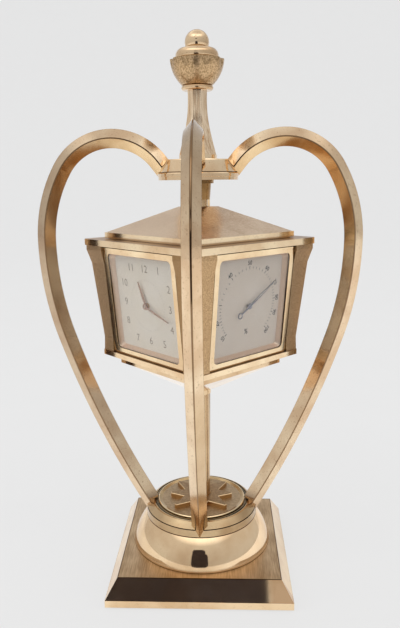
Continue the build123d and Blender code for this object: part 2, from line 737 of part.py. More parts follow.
with BuildPart() as roof:
    with BuildSketch(level(ROOF_BOTTOM, 45)):
        Rectangle(2 * ROOF_HALF, 2 * ROOF_HALF)
    extrude(amount=ROOF_SLAB)
    with BuildSketch(level(ROOF_SLAB_TOP, 45)):
        Rectangle(2 * ROOF_HALF - 1.2, 2 * ROOF_HALF - 1.2)
    with BuildSketch(level(ROOF_SLAB_TOP + ROOF_RISE, 45)):
        Rectangle(2 * ROOF_TOP_HALF, 2 * ROOF_TOP_HALF)
    loft(ruled=True)
    with BuildSketch(level(ROOF_BOTTOM, 45)):
        Rectangle(2 * (ROOF_HALF - ROOF_WALL), 2 * (ROOF_HALF - ROOF_WALL))
    with BuildSketch(level(ROOF_SLAB_TOP + ROOF_RISE - 4.0, 45)):
        Rectangle(2 * ROOF_TOP_HALF + 4, 2 * ROOF_TOP_HALF + 4)
    loft(ruled=True, mode=Mode.SUBTRACT)
    with BuildSketch(level(ROOF_BOTTOM)):
        Circle(ROOF_BORE_R)
    extrude(amount=ROOF_RISE + ROOF_SLAB + 1, mode=Mode.SUBTRACT)
    with BuildSketch(level(ROOF_BOTTOM - 0.1, 45)):
        with GridLocations(2 * PLATE_SCREW_OFFSET, 2 * PLATE_SCREW_OFFSET, 2, 2):
            Circle(SCREW_R)
    extrude(amount=ROOF_SLAB, mode=Mode.SUBTRACT)
finish(roof, "roof")

bottom_plate = plate(
    BOTTOM_PLATE_Z,
    BOTTOM_PLATE_THICK,
    BOTTOM_PLATE_HALF,
    BOTTOM_PLATE_Z - REVEAL,
    KEEL_HALF - REVEAL_INSET,
)
finish(bottom_plate, "bottom_plate")

with BuildPart() as keel:
    with BuildSketch(level(KEEL_TOP, 45)):
        Rectangle(2 * KEEL_HALF, 2 * KEEL_HALF)
    extrude(amount=-KEEL_SLAB)
    with BuildSketch(level(KEEL_TOP - KEEL_SLAB, 45)):
        Rectangle(2 * KEEL_HALF - 1.2, 2 * KEEL_HALF - 1.2)
    with BuildSketch(level(KEEL_BOTTOM, 45)):
        Rectangle(2 * BUSH_R + 1, 2 * BUSH_R + 1)
    loft(ruled=True)
    with BuildSketch(level(KEEL_BOTTOM)):
        Circle(BUSH_BORE)
    extrude(amount=KEEL_TOP - KEEL_BOTTOM + 1, mode=Mode.SUBTRACT)
finish(keel, "keel")

with BuildPart() as bushes:
    with BuildSketch(level(TOP_PLATE_BOTTOM)):
        Circle(BUSH_R)
        Circle(BEARING_R, mode=Mode.SUBTRACT)
    extrude(amount=TOP_PLATE_THICK)
    with BuildSketch(level(TOP_PLATE_BOTTOM)):
        Circle(BUSH_R + 2)
        Circle(BEARING_R, mode=Mode.SUBTRACT)
    extrude(amount=-2.0)
    with BuildSketch(level(KEEL_BOTTOM)):
        Circle(BUSH_R)
        Circle(BEARING_R, mode=Mode.SUBTRACT)
    extrude(amount=BOTTOM_PLATE_TOP - KEEL_BOTTOM)
finish(bushes, "bushes")

POST_SECTIONS = (
    (BOTTOM_PLATE_TOP, POST_FACE_FOOT),
    (POST_WAIST_Z, POST_FACE_WAIST),
    (POST_SHOULDER_Z, POST_FACE_SHOULDER),
    (TOP_PLATE_BOTTOM - 2.6, POST_FACE_HEAD),
    (TOP_PLATE_BOTTOM, POST_FACE_HEAD),
)
POST_INNER = BEZEL_HALF + 0.4


with BuildPart() as corner_posts:
    for azimuth in QUARTERS.values():
        for (z0, reach0), (z1, reach1) in zip(POST_SECTIONS, POST_SECTIONS[1:]):
            for z, reach in ((z0, reach0), (z1, reach1)):
                with BuildSketch(level(z, azimuth - 45)):
                    Polygon(
                        (POST_INNER, POST_INNER),
                        (reach, POST_INNER),
                        (reach, reach - POST_CORNER_CUT),
                        (reach - POST_CORNER_CUT, reach),
                        (POST_INNER, reach),
                        align=None,
                    )
            loft(ruled=True)
    for z, amount in ((BOTTOM_PLATE_TOP, PLATE_SCREW_LENGTH), (TOP_PLATE_BOTTOM, -PLATE_SCREW_LENGTH)):
        with BuildSketch(level(z, 45)):
            with GridLocations(2 * PLATE_SCREW_OFFSET, 2 * PLATE_SCREW_OFFSET, 2, 2):
                Circle(SCREW_R)
        extrude(amount=amount, mode=Mode.SUBTRACT)
finish(corner_posts, "corner_posts")

with BuildPart() as lantern_screws:
    for z, amount in (
        (BOTTOM_PLATE_Z, BOTTOM_PLATE_THICK + PLATE_SCREW_LENGTH - 0.5),
        (ROOF_BOTTOM + ROOF_SLAB - 0.5, -(ROOF_SLAB + REVEAL + TOP_PLATE_THICK + PLATE_SCREW_LENGTH - 1.0)),
    ):
        with BuildSketch(level(z, 45)):
            with GridLocations(2 * PLATE_SCREW_OFFSET, 2 * PLATE_SCREW_OFFSET, 2, 2):
                Circle(SCREW_R)
        extrude(amount=amount)
    with BuildSketch(level(BOTTOM_PLATE_Z, 45)):
        with GridLocations(2 * PLATE_SCREW_OFFSET, 2 * PLATE_SCREW_OFFSET, 2, 2):
            Circle(SCREW_HEAD_R)
    extrude(amount=-SCREW_HEAD)
finish(lantern_screws, "lantern_screws")

# Dial units

PANEL_FRONT = BEZEL_DEPTH + 0.05
PANEL_THICK = 1.6
SEAT_DEPTH = CRYSTAL_SETBACK + CRYSTAL_THICK
DIAL_FRONT = DIAL_RECESS
DIAL_BACK = DIAL_RECESS + DIAL_THICK
SLEEVE_END = DIAL_BACK


def panels(azimuths):
    """Plates between the corner posts, with the windows that the dial units' sleeves go into."""
    with BuildPart() as pieces:
        for azimuth in azimuths:
            with BuildSketch(face_plane(azimuth, PANEL_FRONT)):
                Rectangle(2 * POST_INNER, FACE_HEIGHT - 0.8)
                RectangleRounded(
                    2 * (SLEEVE_HALF + FIT),
                    WINDOW_HEIGHT + 2 * (SLEEVE_WALL + FIT),
                    WINDOW_CORNER,
                    mode=Mode.SUBTRACT,
                )
            extrude(amount=-PANEL_THICK)
    return pieces


def bezels(azimuths):
    """Square bezels with rounded windows, a bevel behind the glass and a sleeve that holds the dial."""
    with BuildPart() as pieces:
        for azimuth in azimuths:
            with BuildSketch(face_plane(azimuth)):
                RectangleRounded(2 * BEZEL_HALF, FACE_HEIGHT, BEZEL_CORNER)
                RectangleRounded(2 * WINDOW_HALF, WINDOW_HEIGHT, WINDOW_CORNER, mode=Mode.SUBTRACT)
            extrude(amount=-BEZEL_DEPTH)
            with BuildSketch(face_plane(azimuth, SEAT_DEPTH)):
                RectangleRounded(2 * WINDOW_HALF + SLEEVE_WALL, WINDOW_HEIGHT + SLEEVE_WALL, WINDOW_CORNER)
            extrude(amount=-(DIAL_FRONT - SEAT_DEPTH))
            with BuildSketch(face_plane(azimuth, BEZEL_DEPTH)):
                RectangleRounded(2 * SLEEVE_HALF, WINDOW_HEIGHT + 2 * SLEEVE_WALL, WINDOW_CORNER)
                RectangleRounded(2 * WINDOW_HALF, WINDOW_HEIGHT, WINDOW_CORNER, mode=Mode.SUBTRACT)
            extrude(amount=-(SLEEVE_END - BEZEL_DEPTH))
            for depth, narrowing in ((SEAT_DEPTH, SEAT_WIDTH), (DIAL_FRONT, BEVEL_WIDTH)):
                with BuildSketch(face_plane(azimuth, depth)):
                    RectangleRounded(
                        2 * (WINDOW_HALF - narrowing),
                        WINDOW_HEIGHT - 2 * narrowing,
                        WINDOW_CORNER - SEAT_WIDTH,
                    )
            loft(ruled=True, mode=Mode.SUBTRACT)
    return pieces


def crystals(azimuths):
    """The glasses of dial units."""
    with BuildPart() as pieces:
        for azimuth in azimuths:
            with BuildSketch(face_plane(azimuth, CRYSTAL_SETBACK)):
                RectangleRounded(2 * WINDOW_HALF, WINDOW_HEIGHT, WINDOW_CORNER)
            extrude(amount=-CRYSTAL_THICK)
    return pieces


def dial(azimuth, bore):
    """A dial plate with the hole for its arbor."""
    with BuildPart() as piece:
        with BuildSketch(face_plane(azimuth, DIAL_FRONT)):
            RectangleRounded(2 * WINDOW_HALF, WINDOW_HEIGHT, WINDOW_CORNER)
            Circle(bore, mode=Mode.SUBTRACT)
        extrude(amount=-DIAL_THICK)
    return piece


def instrument_cups(azimuths):
    """Round cups behind the dials with bearings for the pointers' arbors."""
    with BuildPart() as pieces:
        for azimuth in azimuths:
            with BuildSketch(face_plane(azimuth, DIAL_BACK)):
                Circle(CUP_R)
                Circle(CUP_R - CUP_WALL, mode=Mode.SUBTRACT)
            extrude(amount=-CUP_DEPTH)
            with BuildSketch(face_plane(azimuth, DIAL_BACK + CUP_DEPTH)):
                Circle(CUP_R)
                Circle(ARBOR_R + RUN, mode=Mode.SUBTRACT)
            extrude(amount=-CUP_WALL)
    return pieces


def pointer(azimuth, angle, tail_ring):
    """A pointer on its arbor, turned clockwise from twelve by the angle."""
    with BuildPart() as piece:
        front = face_plane(azimuth, DIAL_FRONT - POINTER_Z)
        t = radians(angle)
        aim = Plane(
            origin=front.origin,
            x_dir=front.x_dir * cos(t) - front.y_dir * sin(t),
            z_dir=front.z_dir,
        )
        with BuildSketch(aim):
            Polygon(*leaf_points(POINTER_LENGTH, POINTER_TAIL, POINTER_HALF, 0.2, 0.4), align=None)
            Polygon(
                (-0.15, SLOT_START),
                (0.15, SLOT_START),
                (POINTER_HALF - POINTER_STRIP, POINTER_LENGTH * 0.42),
                (0.15, POINTER_LENGTH - SLOT_START / 2),
                (-0.15, POINTER_LENGTH - SLOT_START / 2),
                (-POINTER_HALF + POINTER_STRIP, POINTER_LENGTH * 0.42),
                align=None,
                mode=Mode.SUBTRACT,
            )
            if tail_ring:
                with Locations((0, -POINTER_TAIL)):
                    Circle(1.7)
                    Circle(1.15, mode=Mode.SUBTRACT)
            Circle(BOSS_R)
        extrude(amount=HAND_THICK)
        with BuildSketch(front):
            Circle(ARBOR_R)
        extrude(amount=-(POINTER_Z + DIAL_THICK + CUP_DEPTH + CUP_WALL))
    return piece


INSTRUMENTS = [azimuth for name, azimuth in FACE_AZIMUTHS.items() if name != "clock"]
CLOCK = FACE_AZIMUTHS["clock"]

finish(panels(FACE_AZIMUTHS.values()), "dial_panels")
finish(bezels(INSTRUMENTS), "instrument_bezels")
finish(bezels([CLOCK]), "clock_bezel")
finish(crystals(INSTRUMENTS), "instrument_crystals")
finish(crystals([CLOCK]), "clock_crystal")
finish(instrument_cups(INSTRUMENTS), "instrument_cups")

for name, azimuth in FACE_AZIMUTHS.items():
    finish(dial(azimuth, PIPE_R + RUN if name == "clock" else ARBOR_R + RUN), f"{name}_dial")

for name, angle in (("hygro", HYGRO_AT), ("baro", BARO_AT), ("thermo", THERMO_AT)):
    finish(pointer(FACE_AZIMUTHS[name], angle, name == "hygro"), f"{name}_pointer")

COIL_GAP = 1.6
COIL_STRIP = 0.5
COIL_WIDTH = 3.2

with BuildPart() as bimetal_coils:
    for name, outer, turns in (("hygro", 13.0, 4), ("thermo", 11.0, 5)):
        with BuildSketch(face_plane(FACE_AZIMUTHS[name], DIAL_BACK + COIL_GAP)):
            Polygon(*spiral_points(ARBOR_R + 0.9, outer, turns, COIL_STRIP), align=None)
        extrude(amount=-COIL_WIDTH)
        with BuildSketch(face_plane(FACE_AZIMUTHS[name], DIAL_BACK + COIL_GAP)):
            with Locations((outer + COIL_STRIP * 1.2, 0)):
                Rectangle(COIL_STRIP * 3.6, COIL_STRIP * 4.8)
        extrude(amount=-(CUP_DEPTH - COIL_GAP))
finish(bimetal_coils, "bimetal_coils")

CAPSULE_R = 12.0

with BuildPart() as baro_capsule:
    for step in range(2):
        depth = DIAL_BACK + CUP_DEPTH - 0.6 - step * 2.6
        with BuildSketch(face_plane(FACE_AZIMUTHS["baro"], depth)):
            Circle(CAPSULE_R)
            Circle(ARBOR_R + 0.6, mode=Mode.SUBTRACT)
        extrude(amount=2.0)
        with BuildSketch(face_plane(FACE_AZIMUTHS["baro"], depth)):
            Circle(3.2)
            Circle(ARBOR_R + 0.6, mode=Mode.SUBTRACT)
        extrude(amount=-0.6)
finish(baro_capsule, "baro_capsule")

# Clock unit

CASE_END = DIAL_BACK + CASE_DEPTH
FRONT_PLATE = DIAL_BACK + 3.8
BACK_PLATE = DIAL_BACK + 12.4
LEVEL_A = DIAL_BACK + 2.4
LEVEL_B = DIAL_BACK + 1.1


def polar(distance, angle):
    """Point on a dial face at a distance and an angle from its local x axis."""
    return (distance * cos(radians(angle)), distance * sin(radians(angle)))


MOTION_AT = polar(MOTION_DISTANCE, MOTION_ANGLE)
BARREL_AT = polar(BARREL_DISTANCE, BARREL_ANGLE)

CASE_SPACE = 2 * (CASE_HALF - CASE_WALL)

with BuildPart() as clock_case:
    with BuildSketch(face_plane(CLOCK, DIAL_BACK)):
        RectangleRounded(2 * CASE_HALF, 2 * CASE_HALF, 3)
        RectangleRounded(CASE_SPACE, CASE_SPACE, 3 - CASE_WALL, mode=Mode.SUBTRACT)
    extrude(amount=-CASE_DEPTH)
    with BuildSketch(face_plane(CLOCK, CASE_END)):
        RectangleRounded(2 * CASE_HALF, 2 * CASE_HALF, 3)
        Circle(ARBOR_R + RUN, mode=Mode.SUBTRACT)
        with Locations(BARREL_AT):
            Circle(PIPE_R + RUN, mode=Mode.SUBTRACT)
    extrude(amount=-CASE_WALL)
finish(clock_case, "clock_case")

with BuildPart() as movement_plates:
    for depth in (FRONT_PLATE, BACK_PLATE):
        with BuildSketch(face_plane(CLOCK, depth)):
            Rectangle(2 * MOVEMENT_HALF, 2 * MOVEMENT_HALF)
            Circle(ARBOR_R + RUN, mode=Mode.SUBTRACT)
            with Locations(BARREL_AT):
                Circle(PIPE_R + RUN, mode=Mode.SUBTRACT)
        extrude(amount=-PLATE_THICK)
finish(movement_plates, "movement_plates")

with BuildPart() as movement_pillars:
    with BuildSketch(face_plane(CLOCK, DIAL_BACK)):
        with GridLocations(2 * PILLAR_OFFSET, 2 * PILLAR_OFFSET, 2, 2):
            Circle(PILLAR_R)
    extrude(amount=-(FRONT_PLATE - DIAL_BACK))
    with BuildSketch(face_plane(CLOCK, FRONT_PLATE + PLATE_THICK)):
        with GridLocations(2 * PILLAR_OFFSET, 2 * PILLAR_OFFSET, 2, 2):
            Circle(PILLAR_R)
    extrude(amount=-(BACK_PLATE - FRONT_PLATE - PLATE_THICK))
    with BuildSketch(face_plane(CLOCK, LEVEL_B - 0.3)):
        with Locations(MOTION_AT):
            Circle(ARBOR_R)
    extrude(amount=-(FRONT_PLATE - LEVEL_B + 0.3))
finish(movement_pillars, "movement_pillars")

with BuildPart() as escapement_box:
    with BuildSketch(face_plane(CLOCK, FRONT_PLATE + PLATE_THICK)):
        with Locations((-9.5, -10.5)):
            RectangleRounded(ESCAPEMENT_WIDE, ESCAPEMENT_HIGH, 1.2)
    extrude(amount=-(BACK_PLATE - FRONT_PLATE - PLATE_THICK))
finish(escapement_box, "escapement_box")

with BuildPart() as minute_arbor:
    with BuildSketch(face_plane(CLOCK, DIAL_FRONT - MINUTE_Z - HAND_THICK)):
        Circle(ARBOR_R)
    extrude(amount=-(CASE_END + CASE_WALL + 1.0 - DIAL_FRONT + MINUTE_Z + HAND_THICK))
    with BuildSketch(face_plane(CLOCK, LEVEL_A)):
        Polygon(*gear_points(CANNON_TEETH, MOTION_MODULE, MOTION_ANGLE), align=None)
    extrude(amount=-WHEEL_THICK)
    with BuildSketch(face_plane(CLOCK, FRONT_PLATE + PLATE_THICK + 4.8)):
        Polygon(*gear_points(CENTRE_PINION_TEETH, BARREL_MODULE, BARREL_ANGLE), align=None)
    extrude(amount=-2.2)
finish(minute_arbor, "minute_arbor")


def aimed(depth, angle):
    """Plane on the clock's dial side whose local y points clockwise from twelve by the angle."""
    base = face_plane(CLOCK, depth)
    t = radians(angle)
    return Plane(origin=base.origin, x_dir=base.x_dir * cos(t) - base.y_dir * sin(t), z_dir=base.z_dir)


with BuildPart() as minute_hand:
    with BuildSketch(aimed(DIAL_FRONT - MINUTE_Z, MINUTE_AT)):
        Polygon(*leaf_points(MINUTE_LENGTH, 0.5, MINUTE_HALF, 0.2, 0.5), align=None)
        Circle(BOSS_R)
        Circle(ARBOR_R, mode=Mode.SUBTRACT)
    extrude(amount=HAND_THICK)
finish(minute_hand, "minute_hand")

with BuildPart() as hour_pipe:
    with BuildSketch(face_plane(CLOCK, DIAL_FRONT - HOUR_Z)):
        Circle(PIPE_R)
        Circle(ARBOR_R + RUN, mode=Mode.SUBTRACT)
    extrude(amount=-(LEVEL_B + WHEEL_THICK - DIAL_FRONT + HOUR_Z))
    with BuildSketch(face_plane(CLOCK, LEVEL_B)):
        Polygon(*gear_points(HOUR_TEETH, HOUR_MODULE, MOTION_ANGLE + 180 / HOUR_TEETH), align=None)
        Circle(ARBOR_R + RUN, mode=Mode.SUBTRACT)
    extrude(amount=-WHEEL_THICK)
finish(hour_pipe, "hour_pipe")

with BuildPart() as hour_hand:
    with BuildSketch(aimed(DIAL_FRONT - HOUR_Z, HOUR_AT)):
        Polygon(*leaf_points(HOUR_LENGTH, 0.5, HOUR_HALF, 0.3, 0.6), align=None)
        Circle(BOSS_R + 0.3)
        Circle(PIPE_R, mode=Mode.SUBTRACT)
    extrude(amount=HAND_THICK)
finish(hour_hand, "hour_hand")

BACK_ANGLE = MOTION_ANGLE + 180

with BuildPart() as motion_wheel:
    with BuildSketch(face_plane(CLOCK, LEVEL_A)):
        with Locations(MOTION_AT):
            Polygon(*gear_points(MINUTE_TEETH, MOTION_MODULE, BACK_ANGLE + 180 / MINUTE_TEETH), align=None)
            Circle(ARBOR_R + RUN, mode=Mode.SUBTRACT)
    extrude(amount=-WHEEL_THICK)
    with BuildSketch(face_plane(CLOCK, LEVEL_B)):
        with Locations(MOTION_AT):
            Polygon(*gear_points(MINUTE_PINION_TEETH, HOUR_MODULE, BACK_ANGLE), align=None)
            Circle(ARBOR_R + RUN, mode=Mode.SUBTRACT)
    extrude(amount=-(LEVEL_A - LEVEL_B))
finish(motion_wheel, "motion_wheel")

BARREL_TOP = FRONT_PLATE + PLATE_THICK + 0.4
BARREL_BOTTOM = BACK_PLATE - 0.4
BARREL_PHASE = BARREL_ANGLE + 180 + 180 / BARREL_TEETH

with BuildPart() as barrel:
    with BuildSketch(face_plane(CLOCK, BARREL_TOP)):
        with Locations(BARREL_AT):
            Circle(7.6)
            Circle(PIPE_R + RUN, mode=Mode.SUBTRACT)
    extrude(amount=-(BARREL_BOTTOM - BARREL_TOP))
    with BuildSketch(face_plane(CLOCK, FRONT_PLATE + PLATE_THICK + 5.2)):
        with Locations(BARREL_AT):
            Polygon(*gear_points(BARREL_TEETH, BARREL_MODULE, BARREL_PHASE), align=None)
            Circle(PIPE_R + RUN, mode=Mode.SUBTRACT)
    extrude(amount=-1.2)
finish(barrel, "barrel")

with BuildPart() as winding_arbor:
    with BuildSketch(face_plane(CLOCK, FRONT_PLATE)):
        with Locations(BARREL_AT):
            Circle(PIPE_R)
    extrude(amount=-(CASE_END + CASE_WALL + 1.5 - FRONT_PLATE))
finish(winding_arbor, "winding_arbor")

with BuildPart() as winding_key:
    with BuildSketch(face_plane(CLOCK, CASE_END + CASE_WALL + 0.3)):
        with Locations(BARREL_AT):
            Circle(PIPE_R + 0.9)
            Circle(PIPE_R, mode=Mode.SUBTRACT)
    extrude(amount=-1.5)
    with BuildSketch(face_plane(CLOCK, CASE_END + CASE_WALL + 1.8)):
        with Locations(BARREL_AT):
            RectangleRounded(KEY_SPAN, KEY_THICK, 0.6)
    extrude(amount=-4.0)
finish(winding_key, "winding_key")

with BuildPart() as set_knob:
    with BuildSketch(face_plane(CLOCK, CASE_END + CASE_WALL + 0.3)):
        RegularPolygon(KNOB_R, 16)
        Circle(ARBOR_R, mode=Mode.SUBTRACT)
    extrude(amount=-0.7)
    with BuildSketch(face_plane(CLOCK, CASE_END + CASE_WALL + 1.0)):
        RegularPolygon(KNOB_R, 16)
    extrude(amount=-(KNOB_LENGTH - 0.7))
finish(set_knob, "set_knob")
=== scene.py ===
"""Looks of the table clock: its brass finishes, the printing on its dials, the studio and the camera."""

from math import cos, hypot, radians, sin

import bpy
from mathutils import Matrix, Vector


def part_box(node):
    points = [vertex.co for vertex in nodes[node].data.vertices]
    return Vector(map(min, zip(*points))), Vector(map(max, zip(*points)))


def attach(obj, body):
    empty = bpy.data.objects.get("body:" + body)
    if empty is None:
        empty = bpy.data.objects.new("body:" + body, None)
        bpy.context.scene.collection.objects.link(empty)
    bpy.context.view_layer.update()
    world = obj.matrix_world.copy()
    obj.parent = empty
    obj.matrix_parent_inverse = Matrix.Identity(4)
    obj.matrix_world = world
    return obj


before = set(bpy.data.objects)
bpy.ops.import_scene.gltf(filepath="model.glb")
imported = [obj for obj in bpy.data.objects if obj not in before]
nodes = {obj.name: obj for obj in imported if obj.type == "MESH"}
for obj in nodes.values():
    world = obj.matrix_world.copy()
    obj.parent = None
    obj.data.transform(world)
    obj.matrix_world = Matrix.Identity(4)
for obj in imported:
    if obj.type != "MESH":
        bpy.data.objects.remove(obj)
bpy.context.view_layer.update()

MM = 0.001


def lowest(node):
    """Lowest corner of a solid, in millimetres."""
    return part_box(node)[0] / MM


def highest(node):
    """Highest corner of a solid, in millimetres."""
    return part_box(node)[1] / MM


# Sizes that the solids' boxes give, in millimetres
PLINTH_TOP = highest("plinth").z
DOME_TOP = highest("dome").z
COLLAR_R = highest("collar").x
BAR_WIDTH = 2 * highest("cage_bar_back").x
HUB_BOTTOM = lowest("hub").z

# Sizes inside those boxes, which are the same as in the solids
PLINTH_TOP_HALF = 44.2
COLLAR_STEP = 36.2
COLLAR_RIM_INNER_R = 27.6
DISH_R = 25.6
DISH_FLOOR_R = 23.2
HUB_LIP = 3.9
FACE_BOTTOM_REACH = 37.75
FACE_TOP_REACH = 43.25
FACE_BOTTOM_Z = 130.85
FACE_TOP_Z = 189.2
DIAL_DEPTH = 4.4
WINDOW_HALF = 26.0
SEAT_DEPTH = 1.7

# A height about half-way up the cage, between the post's two collars
CAGE_MIDDLE_Z = 150.0

# Directions of the four leaning faces, in degrees from the right bar
FACES = {"hygro": -45.0, "baro": 45.0, "thermo": 135.0, "clock": 225.0}

FACE_RISE = FACE_TOP_Z - FACE_BOTTOM_Z
FACE_LEAN = FACE_TOP_REACH - FACE_BOTTOM_REACH
FACE_MID_Z = (FACE_TOP_Z + FACE_BOTTOM_Z) / 2
FACE_MID_REACH = (FACE_TOP_REACH + FACE_BOTTOM_REACH) / 2

# Tones that several finishes share
# A dark brown painted as shade lines in grooves and joins
PAINTED_SHADE_LINE = "#63472A"
SPECK_BROWN = "#8A6440"


def colour(hex_code):
    """Linear colour of an sRGB hex code."""
    out = []
    for k in (1, 3, 5):
        v = int(hex_code[k:k + 2], 16) / 255
        out.append(v / 12.92 if v <= 0.04045 else ((v + 0.055) / 1.055) ** 2.4)
    return (*out, 1.0)


def fill(tree, socket, value):
    """Gives a socket a number, a hex colour, or a link from an output or a node; None leaves it."""
    if isinstance(value, bpy.types.Node):
        value = next(output for output in value.outputs if output.enabled)
    if isinstance(value, bpy.types.NodeSocket):
        tree.links.new(value, socket)
    elif isinstance(value, str):
        socket.default_value = colour(value)
    elif value is not None:
        socket.default_value = value


def add(tree, kind, *values, **settings):
    """Adds a node with its settings, and fills the sockets that it uses, in their order."""
    made = tree.nodes.new("ShaderNode" + kind)
    for key, value in settings.items():
        setattr(made, key, value)
    used = [socket for socket in made.inputs if socket.enabled]
    for socket, value in zip(used, values):
        fill(tree, socket, value)
    return made


def new_material(name):
    """A material, its node tree, its shader and its object coordinates."""
    material = bpy.data.materials.new(name)
    material.use_nodes = True
    tree = material.node_tree
    return material, tree, tree.nodes["Principled BSDF"], add(tree, "TexCoord").outputs["Object"]


def new_metal(name):
    """A bare metal material with its tree, shader and object coordinates."""
    material, tree, shader, place = new_material(name)
    shader.inputs["Metallic"].default_value = 1.0
    return material, tree, shader, place


def new_brass(name):
    """A brass material with the clouds of its lacquer, which are about 20 mm across."""
    material, tree, shader, place = new_metal(name)
    return material, tree, shader, place, grain(tree, place, 0.05, detail=8.0)


def grain(tree, place, per_mm, detail=3.0, stretch=(1, 1, 1)):
    """Noise with so many grains to the millimetre; a stretch under 1 draws it out along an axis."""
    drawn_out = add(tree, "Mapping", place, None, None, stretch)
    return add(tree, "TexNoise", drawn_out, per_mm / MM, detail)


def two_tones(tree, pattern, low, high, dark, light):
    """Colour that goes from a dark to a light tone between two values of a pattern."""
    share = add(tree, "MapRange", pattern, low, high)
    return add(tree, "Mix", share, dark, light, data_type="RGBA")


def over(tree, tone, paint, *shares):
    """One tone over another, by the product of one or more shares."""
    share = shares[0]
    for other in shares[1:]:
        share = add(tree, "Math", share, other, operation="MULTIPLY")
    return add(tree, "Mix", share, tone, paint, data_type="RGBA")


def parts_in_mm(tree, place):
    """The three parts of a place, in millimetres."""
    in_mm = add(tree, "VectorMath", place, 1 / MM, operation="SCALE")
    return add(tree, "SeparateXYZ", in_mm).outputs


def radius_in_mm(tree, place):
    """Distance from the upright axis, in millimetres."""
    parts = parts_in_mm(tree, place)
    level = add(tree, "CombineXYZ", parts["X"], parts["Y"])
    return add(tree, "VectorMath", level, operation="LENGTH")


def tilt_of(tree):
    """How far a surface faces upwards: 1 for level, 0 for upright."""
    return add(tree, "SeparateXYZ", add(tree, "TexCoord").outputs["Normal"]).outputs["Z"]


def band(tree, source, low, high, soft=0.06):
    """Share that is 1 between two values and soon falls to 0 on both sides."""
    above = add(tree, "MapRange", source, low - soft, low)
    below = add(tree, "MapRange", source, high, high + soft, 1, 0)
    return add(tree, "Math", above, below, operation="MULTIPLY")


def dress(tree, shader, tone, roughness, height=None, depth_mm=0.0, strength=1.0):
    """Gives the shader its tone, its roughness and the relief of a height pattern."""
    fill(tree, shader.inputs["Base Color"], tone)
    fill(tree, shader.inputs["Roughness"], roughness)
    if height is not None:
        fill(tree, shader.inputs["Normal"], add(tree, "Bump", strength, depth_mm * MM, None, height))


def brass_tone(tree, place, clouds, dark, light, tarnish):
    """Pale gold in cloudy patches, with brown specks of tarnish about 1 mm across."""
    brighter = two_tones(tree, clouds, 0.38, 0.62, dark, light)
    specks = add(tree, "MapRange", grain(tree, place, 0.8), 0.60, 0.70, 0, tarnish)
    return over(tree, brighter, SPECK_BROWN, specks)


def polish(tree, shader, place, tone, roughness):
    """A tone and a roughness with the faint waviness of hand polishing, in waves of about 3 mm."""
    dress(tree, shader, tone, roughness, grain(tree, place, 0.35, detail=2.0), depth_mm=0.02, strength=0.15)


def polished_brass(name, dark, light, rough_low, rough_high):
    """Polished pale gold: a mirror that softens in cloudy patches where hands have touched it."""
    material, tree, shader, place, clouds = new_brass(name)
    tone = brass_tone(tree, place, clouds, dark, light, tarnish=0.45)
    polish(tree, shader, place, tone, add(tree, "MapRange", clouds, 0.35, 0.7, rough_low, rough_high))
    return material


def bar_brass():
    """Cage bars: polished facets with painted dark reflections along the ridges and side edges, a front bar
    that is darker grey-brown towards its top, painted reflections of brass on the inner facets, and painted
    shade at the inner feet and below the lantern.
    """
    material, tree, shader, place, clouds = new_brass("cage_bar_brass_painted_ridge_reflections")
    tone = brass_tone(tree, place, clouds, "#DBBB97", "#F3DAB7", tarnish=0.4)
    x, y, z = parts_in_mm(tree, place)
    across = add(tree, "Math", x, operation="ABSOLUTE")
    along = add(tree, "Math", y, operation="ABSOLUTE")

    # A facet is an outer one if it looks away from the middle of the cage
    from_middle = add(tree, "VectorMath", place, (0, 0, CAGE_MIDDLE_Z * MM), operation="SUBTRACT")
    facing = add(tree, "TexCoord").outputs["Normal"]
    outward = add(tree, "VectorMath", from_middle, facing, operation="DOT_PRODUCT")
    outer = add(tree, "MapRange", outward, -4 * MM, 4 * MM, 0, 1)
    inner = add(tree, "MapRange", outward, -4 * MM, 4 * MM, 1, 0)

    # Painted reflection of brass on the inner facets, stronger towards the top
    inner_reflection = two_tones(tree, clouds, 0.4, 0.6, "#CFA56C", "#F0D09E")
    tone = over(tree, tone, inner_reflection, inner, add(tree, "MapRange", z, 130, 215, 0, 0.7))
    # The front bar's outer facets turn darker grey-brown towards its top
    front_bar = add(tree, "MapRange", across, 5.0, 5.5, 1, 0.15)
    crown = add(tree, "MapRange", z, 200, 236, 0, 0.65)
    tone = over(tree, tone, "#967D62", outer, crown, front_bar)
    left_bulge = add(tree, "MapRange", x, -80, -34, 0.55, 0)
    tone = over(tree, tone, "#8C7460", left_bulge)
    # Painted shade on the inner facets at the bars' feet, where they meet the collar
    feet_shade = add(tree, "MapRange", z, 40, 45, 0.75, 0)
    tone = over(tree, tone, "#86705A", inner, feet_shade)
    # Painted shade on the right halves of the front and back bars just below the lantern
    shade_below_lantern = add(tree, "MapRange", z, 118, 132, 0.6, 0)
    tone = over(tree, tone, "#D3B489", band(tree, x, 0.3, 5.5), shade_below_lantern)

    # The front bar's painted dark reflection along its ridge widens towards its crown
    lateral = add(tree, "Math", across, along, operation="MINIMUM")
    rising = add(tree, "MapRange", z, 100, 230, 0, 0.4)
    widening = add(tree, "Math", front_bar, rising, operation="MULTIPLY")
    narrowed = add(tree, "Math", lateral, widening, operation="SUBTRACT")
    ridge_reflection = add(tree, "MapRange", narrowed, 0.20, 0.32, 0.85, 0)
    # The side edges carry a painted dark reflection too
    side_edge_reflection = add(tree, "MapRange", lateral, BAR_WIDTH / 2 - 0.1, BAR_WIDTH / 2 - 0.02, 0, 0.85)
    tone = over(tree, tone, "#765738", add(tree, "Math", ridge_reflection, side_edge_reflection, operation="MAXIMUM"))
    polish(tree, shader, place, tone, add(tree, "MapRange", clouds, 0.35, 0.7, 0.10, 0.20))
    return material


